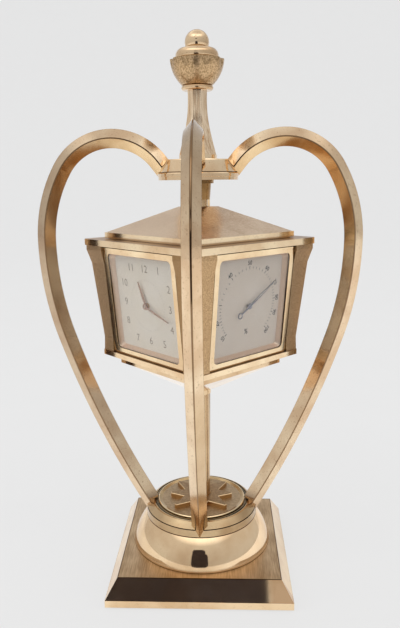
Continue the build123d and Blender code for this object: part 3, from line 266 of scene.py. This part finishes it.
def collar_brass():
    """Collar: polished slope and wall, painted shade lines at its foot and step, dull grooves inside the
    rim.
    """
    material, tree, shader, place, clouds = new_brass("collar_brass_dull_grooves")
    tone = brass_tone(tree, place, clouds, "#AE8F6A", "#CAAF88", tarnish=0.15)
    radius = radius_in_mm(tree, place)
    z = parts_in_mm(tree, place)["Z"]
    # Painted shade lines where the collar meets the dome and at its step
    foot_shade = add(tree, "MapRange", z, DOME_TOP + 0.5, DOME_TOP + 0.65, 1, 0)
    tone = over(tree, tone, PAINTED_SHADE_LINE, foot_shade)
    under_rim = add(tree, "MapRange", radius, COLLAR_R - 0.5, COLLAR_R - 0.4, 1, 0)
    step = band(tree, z, COLLAR_STEP - 0.52, COLLAR_STEP - 0.02)
    tone = over(tree, tone, PAINTED_SHADE_LINE, step, under_rim)
    grooves = add(tree, "MapRange", radius, COLLAR_RIM_INNER_R - 0.1, COLLAR_RIM_INNER_R + 0.2, 1, 0)
    tone = over(tree, tone, two_tones(tree, clouds, 0.4, 0.6, "#716653", "#A8977A"), grooves)
    polish(tree, shader, place, tone, add(tree, "MapRange", grooves, 0, 1, 0.12, 0.30))
    return material


def hub_brass():
    """Hub and rings: polished, with a painted shade line where the hub's lip meets its slope."""
    material, tree, shader, place, clouds = new_brass("hub_brass_painted_shade_at_the_lip")
    tone = brass_tone(tree, place, clouds, "#E2C19A", "#F6DEBA", tarnish=0.25)
    z = parts_in_mm(tree, place)["Z"]
    # Painted shade line where the lip meets the slope
    lip = band(tree, z, HUB_BOTTOM + HUB_LIP - 0.1, HUB_BOTTOM + HUB_LIP + 0.35)
    tone = over(tree, tone, PAINTED_SHADE_LINE, lip)
    polish(tree, shader, place, tone, add(tree, "MapRange", clouds, 0.35, 0.7, 0.05, 0.12))
    return material


def socket_brass():
    """Post collars: a socket under the hub with painted shade on it, and a brighter collar under the
    lantern.
    """
    material, tree, shader, place, clouds = new_brass("socket_brass_painted_shade_under_hub")
    brighter = brass_tone(tree, place, clouds, "#DAB88E", "#EFD5AE", tarnish=0.2)
    # Painted shade on the socket under the hub
    darkened = two_tones(tree, clouds, 0.38, 0.62, "#7E5E3A", "#B38B58")
    z = parts_in_mm(tree, place)["Z"]
    above = add(tree, "MapRange", z, CAGE_MIDDLE_Z, CAGE_MIDDLE_Z + 2)
    tone = over(tree, brighter, darkened, above)
    polish(tree, shader, place, tone, add(tree, "MapRange", clouds, 0.35, 0.7, 0.16, 0.26))
    return material


def plate_brass():
    """Lantern plates: polished edges, and painted shade on their upward faces."""
    material, tree, shader, place, clouds = new_brass("plate_brass_painted_shade_on_ledges")
    tone = brass_tone(tree, place, clouds, "#E2C199", "#F6DEB9", tarnish=0.25)
    # Painted shade on the upward faces of the plates
    level = add(tree, "MapRange", tilt_of(tree), 0.95, 0.98)
    tone = over(tree, tone, two_tones(tree, clouds, 0.4, 0.6, "#8A6745", "#AE8A63"), level)
    polish(tree, shader, place, tone, add(tree, "MapRange", level, 0, 1, 0.12, 0.34))
    return material


def roof_brass():
    """Roof: satin brown-gold slopes with painted light on the left, and a polished edge."""
    material, tree, shader, place, clouds = new_brass("roof_brass_satin_slopes")
    edge = brass_tone(tree, place, clouds, "#E2C199", "#F6DEB9", tarnish=0.25)
    fine = add(tree, "Math", clouds, grain(tree, place, 0.9, detail=6.0), operation="ADD")
    satin = two_tones(tree, fine, 0.84, 1.16, "#C3A383", "#DCC2A5")
    # Painted light: the left half of the roof is lighter
    left = add(tree, "MapRange", parts_in_mm(tree, place)["X"], -2, 2, 0.5, 0)
    satin = over(tree, satin, "#E8CCAD", left)
    slope = add(tree, "MapRange", tilt_of(tree), 0.5, 0.7)
    tone = over(tree, edge, satin, slope)
    polish(tree, shader, place, tone, add(tree, "MapRange", slope, 0, 1, 0.12, 0.24))
    return material


def bezel_brass():
    """Bezels: polished fronts, a dark line on the wall beside the glass, satin walls behind it."""
    material, tree, shader, place, clouds = new_brass("bezel_brass_satin_inner_walls")
    tone = brass_tone(tree, place, clouds, "#DFBE95", "#F3DBB4", tarnish=0.25)

    # Folded into one quarter, because the lantern's four faces are alike
    folded = add(tree, "VectorMath", place, operation="ABSOLUTE")
    across, along, z = parts_in_mm(tree, folded)
    diagonal = 0.5 ** 0.5
    level_part = FACE_RISE / hypot(FACE_RISE, FACE_LEAN)
    rise_part = FACE_LEAN / hypot(FACE_RISE, FACE_LEAN)
    inward = (-level_part * diagonal, -level_part * diagonal, rise_part)
    depth = add(tree, "VectorMath", folded, inward, operation="DOT_PRODUCT")
    front = FACE_MID_Z * rise_part - FACE_MID_REACH * level_part

    aside = add(tree, "Math", across, along, operation="SUBTRACT")
    aside = add(tree, "Math", aside, diagonal, operation="MULTIPLY")
    aside = add(tree, "Math", aside, operation="ABSOLUTE")
    above = add(tree, "Math", z, FACE_MID_Z, operation="SUBTRACT")
    above = add(tree, "Math", above, operation="ABSOLUTE")
    reach = add(tree, "Math", aside, above, operation="MAXIMUM")
    inside = add(tree, "MapRange", reach, WINDOW_HALF + 0.4, WINDOW_HALF + 0.6, 1, 0)
    wall = add(tree, "MapRange", depth, (front + 0.15) * MM, (front + 0.25) * MM)
    tone = over(tree, tone, "#5A422B", wall, inside)
    behind_glass = add(tree, "MapRange", depth, (front + SEAT_DEPTH - 0.1) * MM, (front + SEAT_DEPTH) * MM)
    satin = add(tree, "Math", behind_glass, inside, operation="MULTIPLY")
    tone = over(tree, tone, "#F6D9BE", satin)
    polish(tree, shader, place, tone, add(tree, "MapRange", satin, 0, 1, 0.12, 0.42))
    return material


def dome_brass():
    """Dome: mirror brass with painted light on the right, over a satin lip with a painted shade line at its
    foot.
    """
    material, tree, shader, place, clouds = new_brass("dome_mirror_brass_satin_lip")
    tone = brass_tone(tree, place, clouds, "#D3B189", "#E9CCA5", tarnish=0.1)
    parts = parts_in_mm(tree, place)
    # Painted light: the right side of the dome is lighter
    brighter = two_tones(tree, clouds, 0.4, 0.6, "#F0CDA2", "#FBDDB6")
    tone = over(tree, tone, brighter, add(tree, "MapRange", parts["X"], 6, 26))
    # Painted shade line at the foot, where the dome meets the plinth
    foot_shade = add(tree, "MapRange", parts["Z"], PLINTH_TOP + 0.25, PLINTH_TOP + 0.35, 0.9, 0)
    tone = over(tree, tone, "#6B4C2E", foot_shade)
    lip = add(tree, "MapRange", parts["Z"], PLINTH_TOP + 1.2, PLINTH_TOP + 2.4, 0.34, 0.06)
    polish(tree, shader, place, tone, lip)
    return material


def plinth_brass():
    """Plinth: polished sides and bevels with a painted dark reflection at the right end of the front bevel,
    and a brushed top that has browned, with a painted shade line along its edge.
    """
    material, tree, shader, place, clouds = new_brass("plinth_brass_polished_sides_brushed_top")
    x, y, z = parts_in_mm(tree, place)
    sides = brass_tone(tree, place, clouds, "#E1C097", "#F5DBB5", tarnish=0.15)
    # Painted dark reflection at the right end of the front bevel
    front = add(tree, "MapRange", y, -PLINTH_TOP_HALF - 0.2, -PLINTH_TOP_HALF, 1, 0)
    bevel = add(tree, "MapRange", tilt_of(tree), 0.2, 0.4)
    right_end = add(tree, "MapRange", x, 34, 40)
    worn = two_tones(tree, clouds, 0.4, 0.6, "#C0996F", "#D5B088")
    sides = over(tree, sides, worn, front, bevel, right_end)

    # The real brushing lines are under 0.1 mm wide, and these are drawn coarser so that they show
    lines = grain(tree, place, 2.4, detail=3.0, stretch=(1, 0.04, 1))
    stains = grain(tree, place, 0.12, detail=5.0, stretch=(1, 0.5, 1))
    brushed = add(tree, "Math", lines, stains, operation="ADD")
    brushed = two_tones(tree, brushed, 0.76, 1.24, "#A58866", "#D0B390")
    top = add(tree, "MapRange", z, PLINTH_TOP - 0.06, PLINTH_TOP - 0.03)
    tone = over(tree, sides, brushed, top)
    # Painted shade line along the edge of the top
    across = add(tree, "Math", x, operation="ABSOLUTE")
    along = add(tree, "Math", y, operation="ABSOLUTE")
    reach = add(tree, "Math", across, along, operation="MAXIMUM")
    tone = over(tree, tone, "#5E4329", band(tree, reach, PLINTH_TOP_HALF - 0.35, PLINTH_TOP_HALF + 0.1))
    dress(tree, shader, tone, add(tree, "MapRange", top, 0, 1, 0.04, 0.36))
    return material


def dish_brass():
    """Compass dish: dull grey-brown tarnish inside a polished sloping ring with a painted highlight on its
    crest.
    """
    material, tree, shader, place, clouds = new_brass("dish_brass_tarnished_floor_polished_ring")
    darkened = two_tones(tree, grain(tree, place, 0.9, detail=5.0), 0.3, 0.72, "#9A8163", "#C0A786")
    radius = radius_in_mm(tree, place)
    ring = add(tree, "MapRange", radius, DISH_FLOOR_R - 0.2, DISH_FLOOR_R)
    # Painted highlight on the crest of the ring
    crest_highlight = add(tree, "MapRange", radius, DISH_R - 0.8, DISH_R - 0.65)
    tone = over(tree, darkened, two_tones(tree, clouds, 0.4, 0.6, "#A48A66", "#CDB084"), ring)
    tone = over(tree, tone, "#DEC49C", crest_highlight)
    roughness = add(tree, "MapRange", ring, 0, 1, 0.42, 0.18)
    dress(tree, shader, tone, roughness, grain(tree, place, 1.6, detail=4.0), depth_mm=0.05, strength=0.25)
    return material


def star_brass():
    """Compass star: dull tarnished top, and lighter sides with their upper edges rubbed bright."""
    material, tree, shader, place = new_metal("star_brass_rubbed_edges")
    darkened = two_tones(tree, grain(tree, place, 0.9, detail=5.0), 0.3, 0.72, "#86694A", "#AC8E69")
    tilt = tilt_of(tree)
    tone = over(tree, darkened, "#C29C6C", add(tree, "MapRange", tilt, 0.2, 0.4, 1, 0))
    steeper = add(tree, "MapRange", tilt, 0.90, 0.97, 1, 0)
    tone = over(tree, tone, "#E0C297", add(tree, "MapRange", tilt, 0.3, 0.5), steeper)
    dress(tree, shader, tone, 0.36, grain(tree, place, 1.6, detail=4.0), depth_mm=0.05, strength=0.25)
    return material


def spire_brass():
    """Spire: satin gold whose upright brushing lines and streaks draw the highlights sideways."""
    material, tree, shader, place = new_metal("spire_satin_brass")
    # The real brushing lines are under 0.1 mm wide, and these are drawn coarser so that they show
    lines = grain(tree, place, 1.4, detail=3.0, stretch=(1, 1, 0.06))
    streaks = grain(tree, place, 0.28, detail=3.0, stretch=(1, 1, 0.10))
    both = add(tree, "Math", lines, streaks, operation="ADD")
    tone = two_tones(tree, both, 0.80, 1.20, "#CDAC87", "#FAE2C3")
    dress(tree, shader, tone, 0.22, lines, depth_mm=0.015, strength=0.3)
    return material


def post_brass():
    """Corner posts: gold with fine ripples across, browner on the posts at the left and right, with painted
    shade on the left halves of the front and back posts.
    """
    material, tree, shader, place = new_metal("corner_post_stippled_brass")
    ripples = grain(tree, place, 1.6, detail=4.0, stretch=(1, 1, 2.2))
    tone = two_tones(tree, ripples, 0.38, 0.62, "#A3825B", "#D1AF85")
    browned = two_tones(tree, ripples, 0.38, 0.62, "#866B4E", "#BB9D7A")
    x = parts_in_mm(tree, place)["X"]
    across = add(tree, "Math", x, operation="ABSOLUTE")
    tone = over(tree, tone, browned, add(tree, "MapRange", across, 28, 34, 0, 0.85))
    # Painted shade on the left halves of the front and back posts
    tone = over(tree, tone, "#94734C", band(tree, x, -18, -1, 1), 0.8)
    dress(tree, shader, tone, 0.38, ripples, depth_mm=0.05, strength=0.6)
    return material


def cup_brass():
    """Finial cup: granular gold, whose pits catch shadow and make the sheen soft."""
    material, tree, shader, place = new_metal("finial_cup_granular_brass")
    pits = grain(tree, place, 1.3, detail=4.0)
    tone = two_tones(tree, pits, 0.38, 0.62, "#9C7F5A", "#D2B189")
    dress(tree, shader, tone, 0.30, pits, depth_mm=0.06, strength=0.6)
    return material


def turned_metal(name, dark, light, rough):
    """Small turned, drawn or blued metal: an even colour with fine turning marks."""
    material, tree, shader, place = new_metal(name)
    dress(tree, shader, two_tones(tree, grain(tree, place, 1.5, detail=2.0), 0.3, 0.7, dark, light), rough)
    return material


def painted_dial(name, dark, light):
    """Dial card: even satin paint with a trace of clouding from age."""
    material, tree, shader, place = new_material(name)
    aged = two_tones(tree, grain(tree, place, 0.06), 0.3, 0.7, dark, light)
    dress(tree, shader, aged, 0.55, grain(tree, place, 3.0), depth_mm=0.01, strength=0.2)
    return material


def dull(name, dark, light, rough, per_mm):
    """Matt paint, ink, card or felt: soft and without reflections."""
    material, tree, shader, place = new_material(name)
    dress(tree, shader, two_tones(tree, grain(tree, place, per_mm), 0.3, 0.7, dark, light), rough)
    return material


def clear_glass():
    """Dial glass: clear, with faintly hazy patches; the lamps' light passes to the dial."""
    material, tree, shader, place = new_material("dial_glass_clear")
    shader.inputs["Transmission Weight"].default_value = 1.0
    shader.inputs["IOR"].default_value = 1.46
    haze = add(tree, "MapRange", grain(tree, place, 0.05, detail=2.0), 0.3, 0.7, 0, 0.03)
    fill(tree, shader.inputs["Roughness"], haze)
    shadow = add(tree, "LightPath").outputs["Is Shadow Ray"]
    glass = add(tree, "MixShader", shadow, shader, add(tree, "BsdfTransparent"))
    fill(tree, tree.nodes["Material Output"].inputs["Surface"], glass)
    return material


GOLD = polished_brass("polished_pale_gold_brass", "#CDAB84", "#E6CAA5", rough_low=0.06, rough_high=0.14)
INK = dull("dial_ink_warm_grey", "#2E2824", "#40382F", rough=0.7, per_mm=2.0)
PALE_INK = dull("clock_ink_soft_brown", "#9A8770", "#AB9982", rough=0.7, per_mm=2.0)

# Each finish with the pieces that wear it; all the others are polished pale gold
FINISHES = (
    (plinth_brass(), ["plinth"]),
    (dull("weight_black_paint", "#161616", "#2A2A2A", rough=0.6, per_mm=0.4), ["base_weight"]),
    (dull("dark_green_felt", "#101C12", "#233326", rough=0.95, per_mm=2.5), ["base_felt"]),
    (dome_brass(), ["dome"]),
    (collar_brass(), ["collar"]),
    (dish_brass(), ["compass_dish"]),
    (star_brass(), ["compass_star"]),
    (bar_brass(), [name for name in nodes if name.startswith("cage_bar")]),
    (hub_brass(), ["hub", "spire_foot"]),
    (spire_brass(), ["spire"]),
    (cup_brass(), ["finial_cup"]),
    (
        polished_brass(
            "centre_post_soft_polished_brass", "#B3936E", "#D0B28B", rough_low=0.14, rough_high=0.22,
        ),
        ["centre_post"],
    ),
    (socket_brass(), ["post_collars"]),
    (plate_brass(), ["top_plate", "bottom_plate"]),
    (roof_brass(), ["roof"]),
    (post_brass(), ["corner_posts"]),
    (bezel_brass(), ["instrument_bezels", "clock_bezel"]),
    (clear_glass(), ["instrument_crystals", "clock_crystal"]),
    (painted_dial("clock_dial_ivory_paint", "#F8EBD6", "#FCF2E2"), ["clock_dial"]),
    (
        painted_dial("instrument_dial_grey_beige_paint", "#EFDECB", "#F6E8D8"),
        ["hygro_dial", "baro_dial", "thermo_dial"],
    ),
    (turned_metal("hands_rose_copper", "#A5806A", "#CDA78E", rough=0.25), ["minute_hand", "hour_hand"]),
    (
        turned_metal("needle_blued_steel", "#6E6B76", "#98959C", rough=0.25),
        ["hygro_pointer", "baro_pointer", "thermo_pointer"],
    ),
    (
        turned_metal("turned_steel", "#8C8A86", "#C2C0BB", rough=0.3),
        [
            "base_nut", "cage_screws", "tie_rod", "lantern_screws", "escapement_box",
            "minute_arbor", "winding_arbor",
        ],
    ),
    (
        turned_metal("movement_brass", "#B58B4C", "#DDB878", rough=0.25),
        [
            "bushes", "dial_panels", "bimetal_coils", "baro_capsule", "movement_plates",
            "movement_pillars", "hour_pipe", "motion_wheel", "barrel",
        ],
    ),
    (
        dull("satin_black_paint", "#0E0E0E", "#1C1C1C", rough=0.5, per_mm=0.5),
        ["clock_case", "instrument_cups"],
    ),
)

for name, piece in nodes.items():
    worn = [finish for finish, wearers in FINISHES if name in wearers]
    piece.data.materials.clear()
    piece.data.materials.append(worn[0] if worn else GOLD)

# Dial printing, with its sizes in millimetres

PRINT_THICKNESS = 0.016
PRINT_LIFT = 0.02
BOLD = 0.06

# The clock's dial; a mark has a length and a width
NUMERAL_SIZE = 5.6
NUMERAL_REACH_ACROSS = 18.2
NUMERAL_REACH_UP = 19.3
MINUTE_RING_RADIUS = 13.6
HOUR_MARK = (1.0, 0.12)
MINUTE_MARK = (0.6, 0.12)

# The instruments' dials
SCALE_NUMBER_RADIUS = 22.5
LONG_MARK_RADIUS = 20.2
LONG_MARK = (1.8, 0.34)
SHORT_MARK_RADIUS = 19.9
SHORT_MARK = (1.2, 0.24)
SHORT_MARKS_BETWEEN = 4

# A hair hygrometer's scale is wide in the middle and narrow at its damp end
HYGRO_MARKS = (
    ("10", -132), ("20", -107), ("•", -82), ("40", -40), ("50", -2),
    ("60", 35), ("70", 63), ("80", 86), ("90", 107), ("100", 133),
)


def face_matrix(azimuth, depth):
    """From a flat drawing (x right, y up, z outwards) to a dial face, at a depth behind its bezel."""
    a = radians(azimuth)
    away = Vector((cos(a), sin(a), 0))
    up = (away * FACE_LEAN + Vector((0, 0, FACE_RISE))).normalized()
    out = (away * FACE_RISE - Vector((0, 0, FACE_LEAN))).normalized()
    middle = away * FACE_MID_REACH + Vector((0, 0, FACE_MID_Z))
    turn = Matrix((up.cross(out), up, out)).transposed().to_4x4()
    return Matrix.Translation((middle - out * depth) * MM) @ turn


def clear_selection():
    """Nothing is selected."""
    bpy.ops.object.select_all(action="DESELECT")


def apply_place():
    """The selected piece keeps its place in its mesh, and its own origin is the world's."""
    bpy.ops.object.transform_apply(location=True, rotation=True, scale=True)


def word(text, size, x, y, turn=0.0, bold=0.0):
    """Flat printed characters centred on a point of the drawing."""
    clear_selection()
    bpy.ops.object.text_add(location=(x * MM, y * MM, 0), rotation=(0, 0, turn))
    letters = bpy.context.object.data
    letters.body = text
    letters.size = size * MM
    letters.align_x = "CENTER"
    letters.align_y = "CENTER"
    letters.offset = bold * MM
    letters.extrude = PRINT_THICKNESS / 2 * MM
    letters.resolution_u = 4
    bpy.ops.object.convert(target="MESH")
    apply_place()
    return bpy.context.object


def stroke(radius, angle, mark):
    """A printed mark that points at the dial's centre; its angle runs clockwise from twelve."""
    clear_selection()
    length, width = mark
    t = radians(angle)
    bpy.ops.mesh.primitive_cube_add(
        size=1,
        location=(radius * sin(t) * MM, radius * cos(t) * MM, 0),
        rotation=(0, 0, -t),
    )
    made = bpy.context.object
    made.scale = (width * MM, length * MM, PRINT_THICKNESS * MM)
    apply_place()
    return made


def print_dial(face, parts, ink, body):
    """Joins the printed parts and lays them on a dial."""
    clear_selection()
    for part in parts:
        part.select_set(True)
    bpy.context.view_layer.objects.active = parts[0]
    bpy.ops.object.join()
    printing = bpy.context.object
    printing.name = f"{face}_dial_printing"
    printing.data.name = printing.name
    printing.data.materials.append(ink)
    printing.matrix_world = face_matrix(FACES[face], DIAL_DEPTH - PRINT_LIFT)
    apply_place()
    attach(printing, body)


def clock_printing():
    """Hour numerals in a square ring, around a round ring of minute marks."""
    parts = []
    for hour in range(1, 13):
        t = radians(hour * 30)
        reach = min(
            NUMERAL_REACH_ACROSS / max(abs(sin(t)), 0.01),
            NUMERAL_REACH_UP / max(abs(cos(t)), 0.01),
        )
        parts.append(word(str(hour), NUMERAL_SIZE, reach * sin(t), reach * cos(t)))
    for minute in range(60):
        mark = MINUTE_MARK if minute % 5 else HOUR_MARK
        parts.append(stroke(MINUTE_RING_RADIUS, minute * 6, mark))
    print_dial("clock", parts, PALE_INK, "clock_unit")


def scale_printing(face, marks, number_size, unit, unit_size, unit_drop):
    """A round scale: each mark has a number, and the unit stands under the centre."""
    parts = []
    for mark, angle in marks:
        t = radians(angle)
        parts.append(stroke(LONG_MARK_RADIUS, angle, LONG_MARK))
        x, y = SCALE_NUMBER_RADIUS * sin(t), SCALE_NUMBER_RADIUS * cos(t)
        parts.append(word(mark, number_size, x, y, -t, BOLD))
    for (_, angle), (_, next_angle) in zip(marks, marks[1:]):
        step = (next_angle - angle) / (SHORT_MARKS_BETWEEN + 1)
        for k in range(1, SHORT_MARKS_BETWEEN + 1):
            parts.append(stroke(SHORT_MARK_RADIUS, angle + k * step, SHORT_MARK))
    parts.append(word(unit, unit_size, 0, -unit_drop, 0.0, BOLD))
    print_dial(face, parts, INK, "lantern")


def even_marks(first, last, step, sweep):
    """Marks at even angles from the left end of a scale to its right end."""
    numbers = range(first, last + 1, step)
    gap = 2 * sweep / (len(numbers) - 1)
    return [(str(number), -sweep + gap * k) for k, number in enumerate(numbers)]


clock_printing()
pressures = even_marks(first=960, last=1060, step=10, sweep=135)
temperatures = even_marks(first=-20, last=50, step=10, sweep=120)
scale_printing("hygro", HYGRO_MARKS, number_size=3.1, unit="%", unit_size=4.0, unit_drop=14)
scale_printing("baro", pressures, number_size=2.4, unit="hPa", unit_size=3.0, unit_drop=13)
scale_printing("thermo", temperatures, number_size=2.9, unit="°C", unit_size=3.8, unit_drop=13)

# Studio, in metres

FLOOR_SIZE = 8
WALL_HIGH = 5
SWEEP_RADIUS = 2.2

# What the camera sees: the strength of the air, and the share of even grey in the paper
SEEN_AIR = 0.88
SEEN_PAPER = 0.86


def studio_paper():
    """Seamless paper: it lights the metal like pale paper, and the camera sees it as an even pale grey."""
    paper = dull("studio_paper_pale_grey", "#EAEAEA", "#EEEEEE", rough=0.9, per_mm=0.02)
    tree = paper.node_tree
    seen = add(tree, "LightPath").outputs["Is Camera Ray"]
    evened = add(tree, "Math", seen, SEEN_PAPER, operation="MULTIPLY")
    glow = add(tree, "Emission", "#E5E5E5")
    surface = add(tree, "MixShader", evened, tree.nodes["Principled BSDF"], glow)
    fill(tree, tree.nodes["Material Output"].inputs["Surface"], surface)
    return paper


def sweep_backdrop():
    """A floor that curves up into a wall behind the object."""
    clear_selection()
    bpy.ops.mesh.primitive_plane_add(size=FLOOR_SIZE, location=(0, 0, 0))
    sheet = bpy.context.object
    back = FLOOR_SIZE / 2 - 0.1
    bpy.ops.object.mode_set(mode="EDIT")
    bpy.ops.mesh.select_mode(type="EDGE")
    bpy.ops.mesh.select_all(action="DESELECT")
    bpy.ops.object.mode_set(mode="OBJECT")
    for edge in sheet.data.edges:
        ends = [sheet.data.vertices[v].co for v in edge.vertices]
        edge.select = all(end.y > back for end in ends)
    bpy.ops.object.mode_set(mode="EDIT")
    bpy.ops.mesh.extrude_region_move(TRANSFORM_OT_translate={"value": (0, 0, WALL_HIGH)})
    bpy.ops.mesh.select_all(action="DESELECT")
    bpy.ops.object.mode_set(mode="OBJECT")
    for edge in sheet.data.edges:
        ends = [sheet.data.vertices[v].co for v in edge.vertices]
        edge.select = all(end.y > back and abs(end.z) < 0.01 for end in ends)
    bpy.ops.object.mode_set(mode="EDIT")
    bpy.ops.mesh.bevel(offset=SWEEP_RADIUS, segments=24, affect="EDGES")
    bpy.ops.object.mode_set(mode="OBJECT")
    bpy.ops.object.shade_smooth()
    sheet.name = "studio_sweep"
    sheet.data.materials.append(studio_paper())


def dark_card(name, middle, wide, high, corner):
    """An upright card outside the picture that gives the polished metal its dark reflections."""
    clear_selection()
    bpy.ops.mesh.primitive_plane_add(size=1, location=middle, rotation=(radians(90), 0, 0))
    card = bpy.context.object
    card.name = name
    card.scale = (wide, high, 1)
    apply_place()
    bpy.ops.object.mode_set(mode="EDIT")
    bpy.ops.mesh.select_all(action="SELECT")
    bpy.ops.mesh.bevel(offset=corner, segments=8, affect="VERTICES")
    bpy.ops.object.mode_set(mode="OBJECT")
    card.data.materials.append(DARK_CARD)
    card.visible_camera = False
    card.visible_shadow = False
    card.visible_diffuse = False


def studio_air():
    """Pale light all round, slightly stronger from the left, with a bright patch high in front."""
    world = bpy.data.worlds.new("studio_air")
    world.use_nodes = True
    tree = world.node_tree
    x, y, z = add(tree, "SeparateXYZ", add(tree, "TexCoord").outputs["Generated"]).outputs
    even = add(tree, "MapRange", z, 0, 0.6, 0.72, 0.84)
    rising = add(tree, "MapRange", z, 0.60, 0.78, 0, 1.3)
    falling = add(tree, "MapRange", z, 0.84, 0.94, 1, 0.25)
    in_front = add(tree, "MapRange", y, -0.35, -0.05, 1, 0.3)
    overhead = add(tree, "Math", rising, falling, operation="MULTIPLY")
    overhead = add(tree, "Math", overhead, in_front, operation="MULTIPLY")
    lighting = add(tree, "Math", even, overhead, operation="ADD")
    sideways = add(tree, "MapRange", x, -1, 1, 1.10, 0.88)
    lighting = add(tree, "Math", lighting, sideways, operation="MULTIPLY")
    seen = add(tree, "LightPath").outputs["Is Camera Ray"]
    background = tree.nodes["Background"]
    fill(tree, background.inputs["Color"], "#F4F5F6")
    fill(tree, background.inputs["Strength"], add(tree, "Mix", seen, lighting, SEEN_AIR, data_type="FLOAT"))
    return world


def soft_box(name, at, aim_z, wide, high, watts):
    """A soft box aimed at a height on the upright axis, and not mirrored in the polished metal."""
    clear_selection()
    bpy.ops.object.light_add(type="AREA", location=at)
    box = bpy.context.object
    box.name = name
    box.data.shape = "RECTANGLE"
    box.data.size = wide
    box.data.size_y = high
    box.data.energy = watts
    box.rotation_euler = (Vector((0, 0, aim_z)) - Vector(at)).to_track_quat("-Z", "Y").to_euler()
    box.visible_glossy = False


DARK_CARD = dull("dark_card_matt", "#322C33", "#3C353A", rough=0.9, per_mm=0.02)

sweep_backdrop()
dark_card("studio_card_near_low", (-0.015, -0.5, 0.112), wide=0.23, high=0.224, corner=0.05)
dark_card("studio_card_near_high", (-0.0285, -0.501, 0.215), wide=0.193, high=0.16, corner=0.035)
dark_card("studio_card_far", (-0.155, -2.2, 1.15), wide=0.69, high=0.30, corner=0.02)
bpy.context.scene.world = studio_air()
soft_box("softbox_left", (-1.1, -0.5, 0.9), aim_z=0.15, wide=0.9, high=1.2, watts=4.2)
soft_box("softbox_right", (1.2, -0.4, 0.8), aim_z=0.15, wide=0.8, high=1.1, watts=3.2)
soft_box("softbox_top", (0, 0.1, 1.5), aim_z=0.1, wide=1.2, high=1.2, watts=3.0)

# Camera, with its place in millimetres, its angles in radians and its focal length in picture pixels

CAMERA_AT = (13.46, -348.5, 223.46)
YAW = -0.038
PITCH = 0.206
ROLL = 0.010
FOCAL_PX = 634.7
PICTURE_HIGH_PX = 628
SENSOR_HIGH_MM = 36


def photo_camera():
    """A camera at the photograph's viewing angle: level with the hub, looking down a little."""
    ahead = Vector((sin(YAW), cos(YAW), 0))
    look = ahead * cos(PITCH) - Vector((0, 0, sin(PITCH)))
    level_up = ahead * sin(PITCH) + Vector((0, 0, cos(PITCH)))
    level_right = Vector((cos(YAW), -sin(YAW), 0))
    right = level_right * cos(ROLL) - level_up * sin(ROLL)
    up = level_right * sin(ROLL) + level_up * cos(ROLL)
    lens = bpy.data.cameras.new("camera")
    lens.sensor_fit = "VERTICAL"
    lens.sensor_height = SENSOR_HIGH_MM
    lens.lens = FOCAL_PX * SENSOR_HIGH_MM / PICTURE_HIGH_PX
    lens.clip_start = 0.01
    camera = bpy.data.objects.new("camera", lens)
    turn = Matrix((right, up, -look)).transposed().to_4x4()
    camera.matrix_world = Matrix.Translation(Vector(CAMERA_AT) * MM) @ turn
    bpy.context.scene.collection.objects.link(camera)
    return camera


bpy.context.scene.camera = photo_camera()
bpy.context.scene.view_settings.view_transform = "Standard"
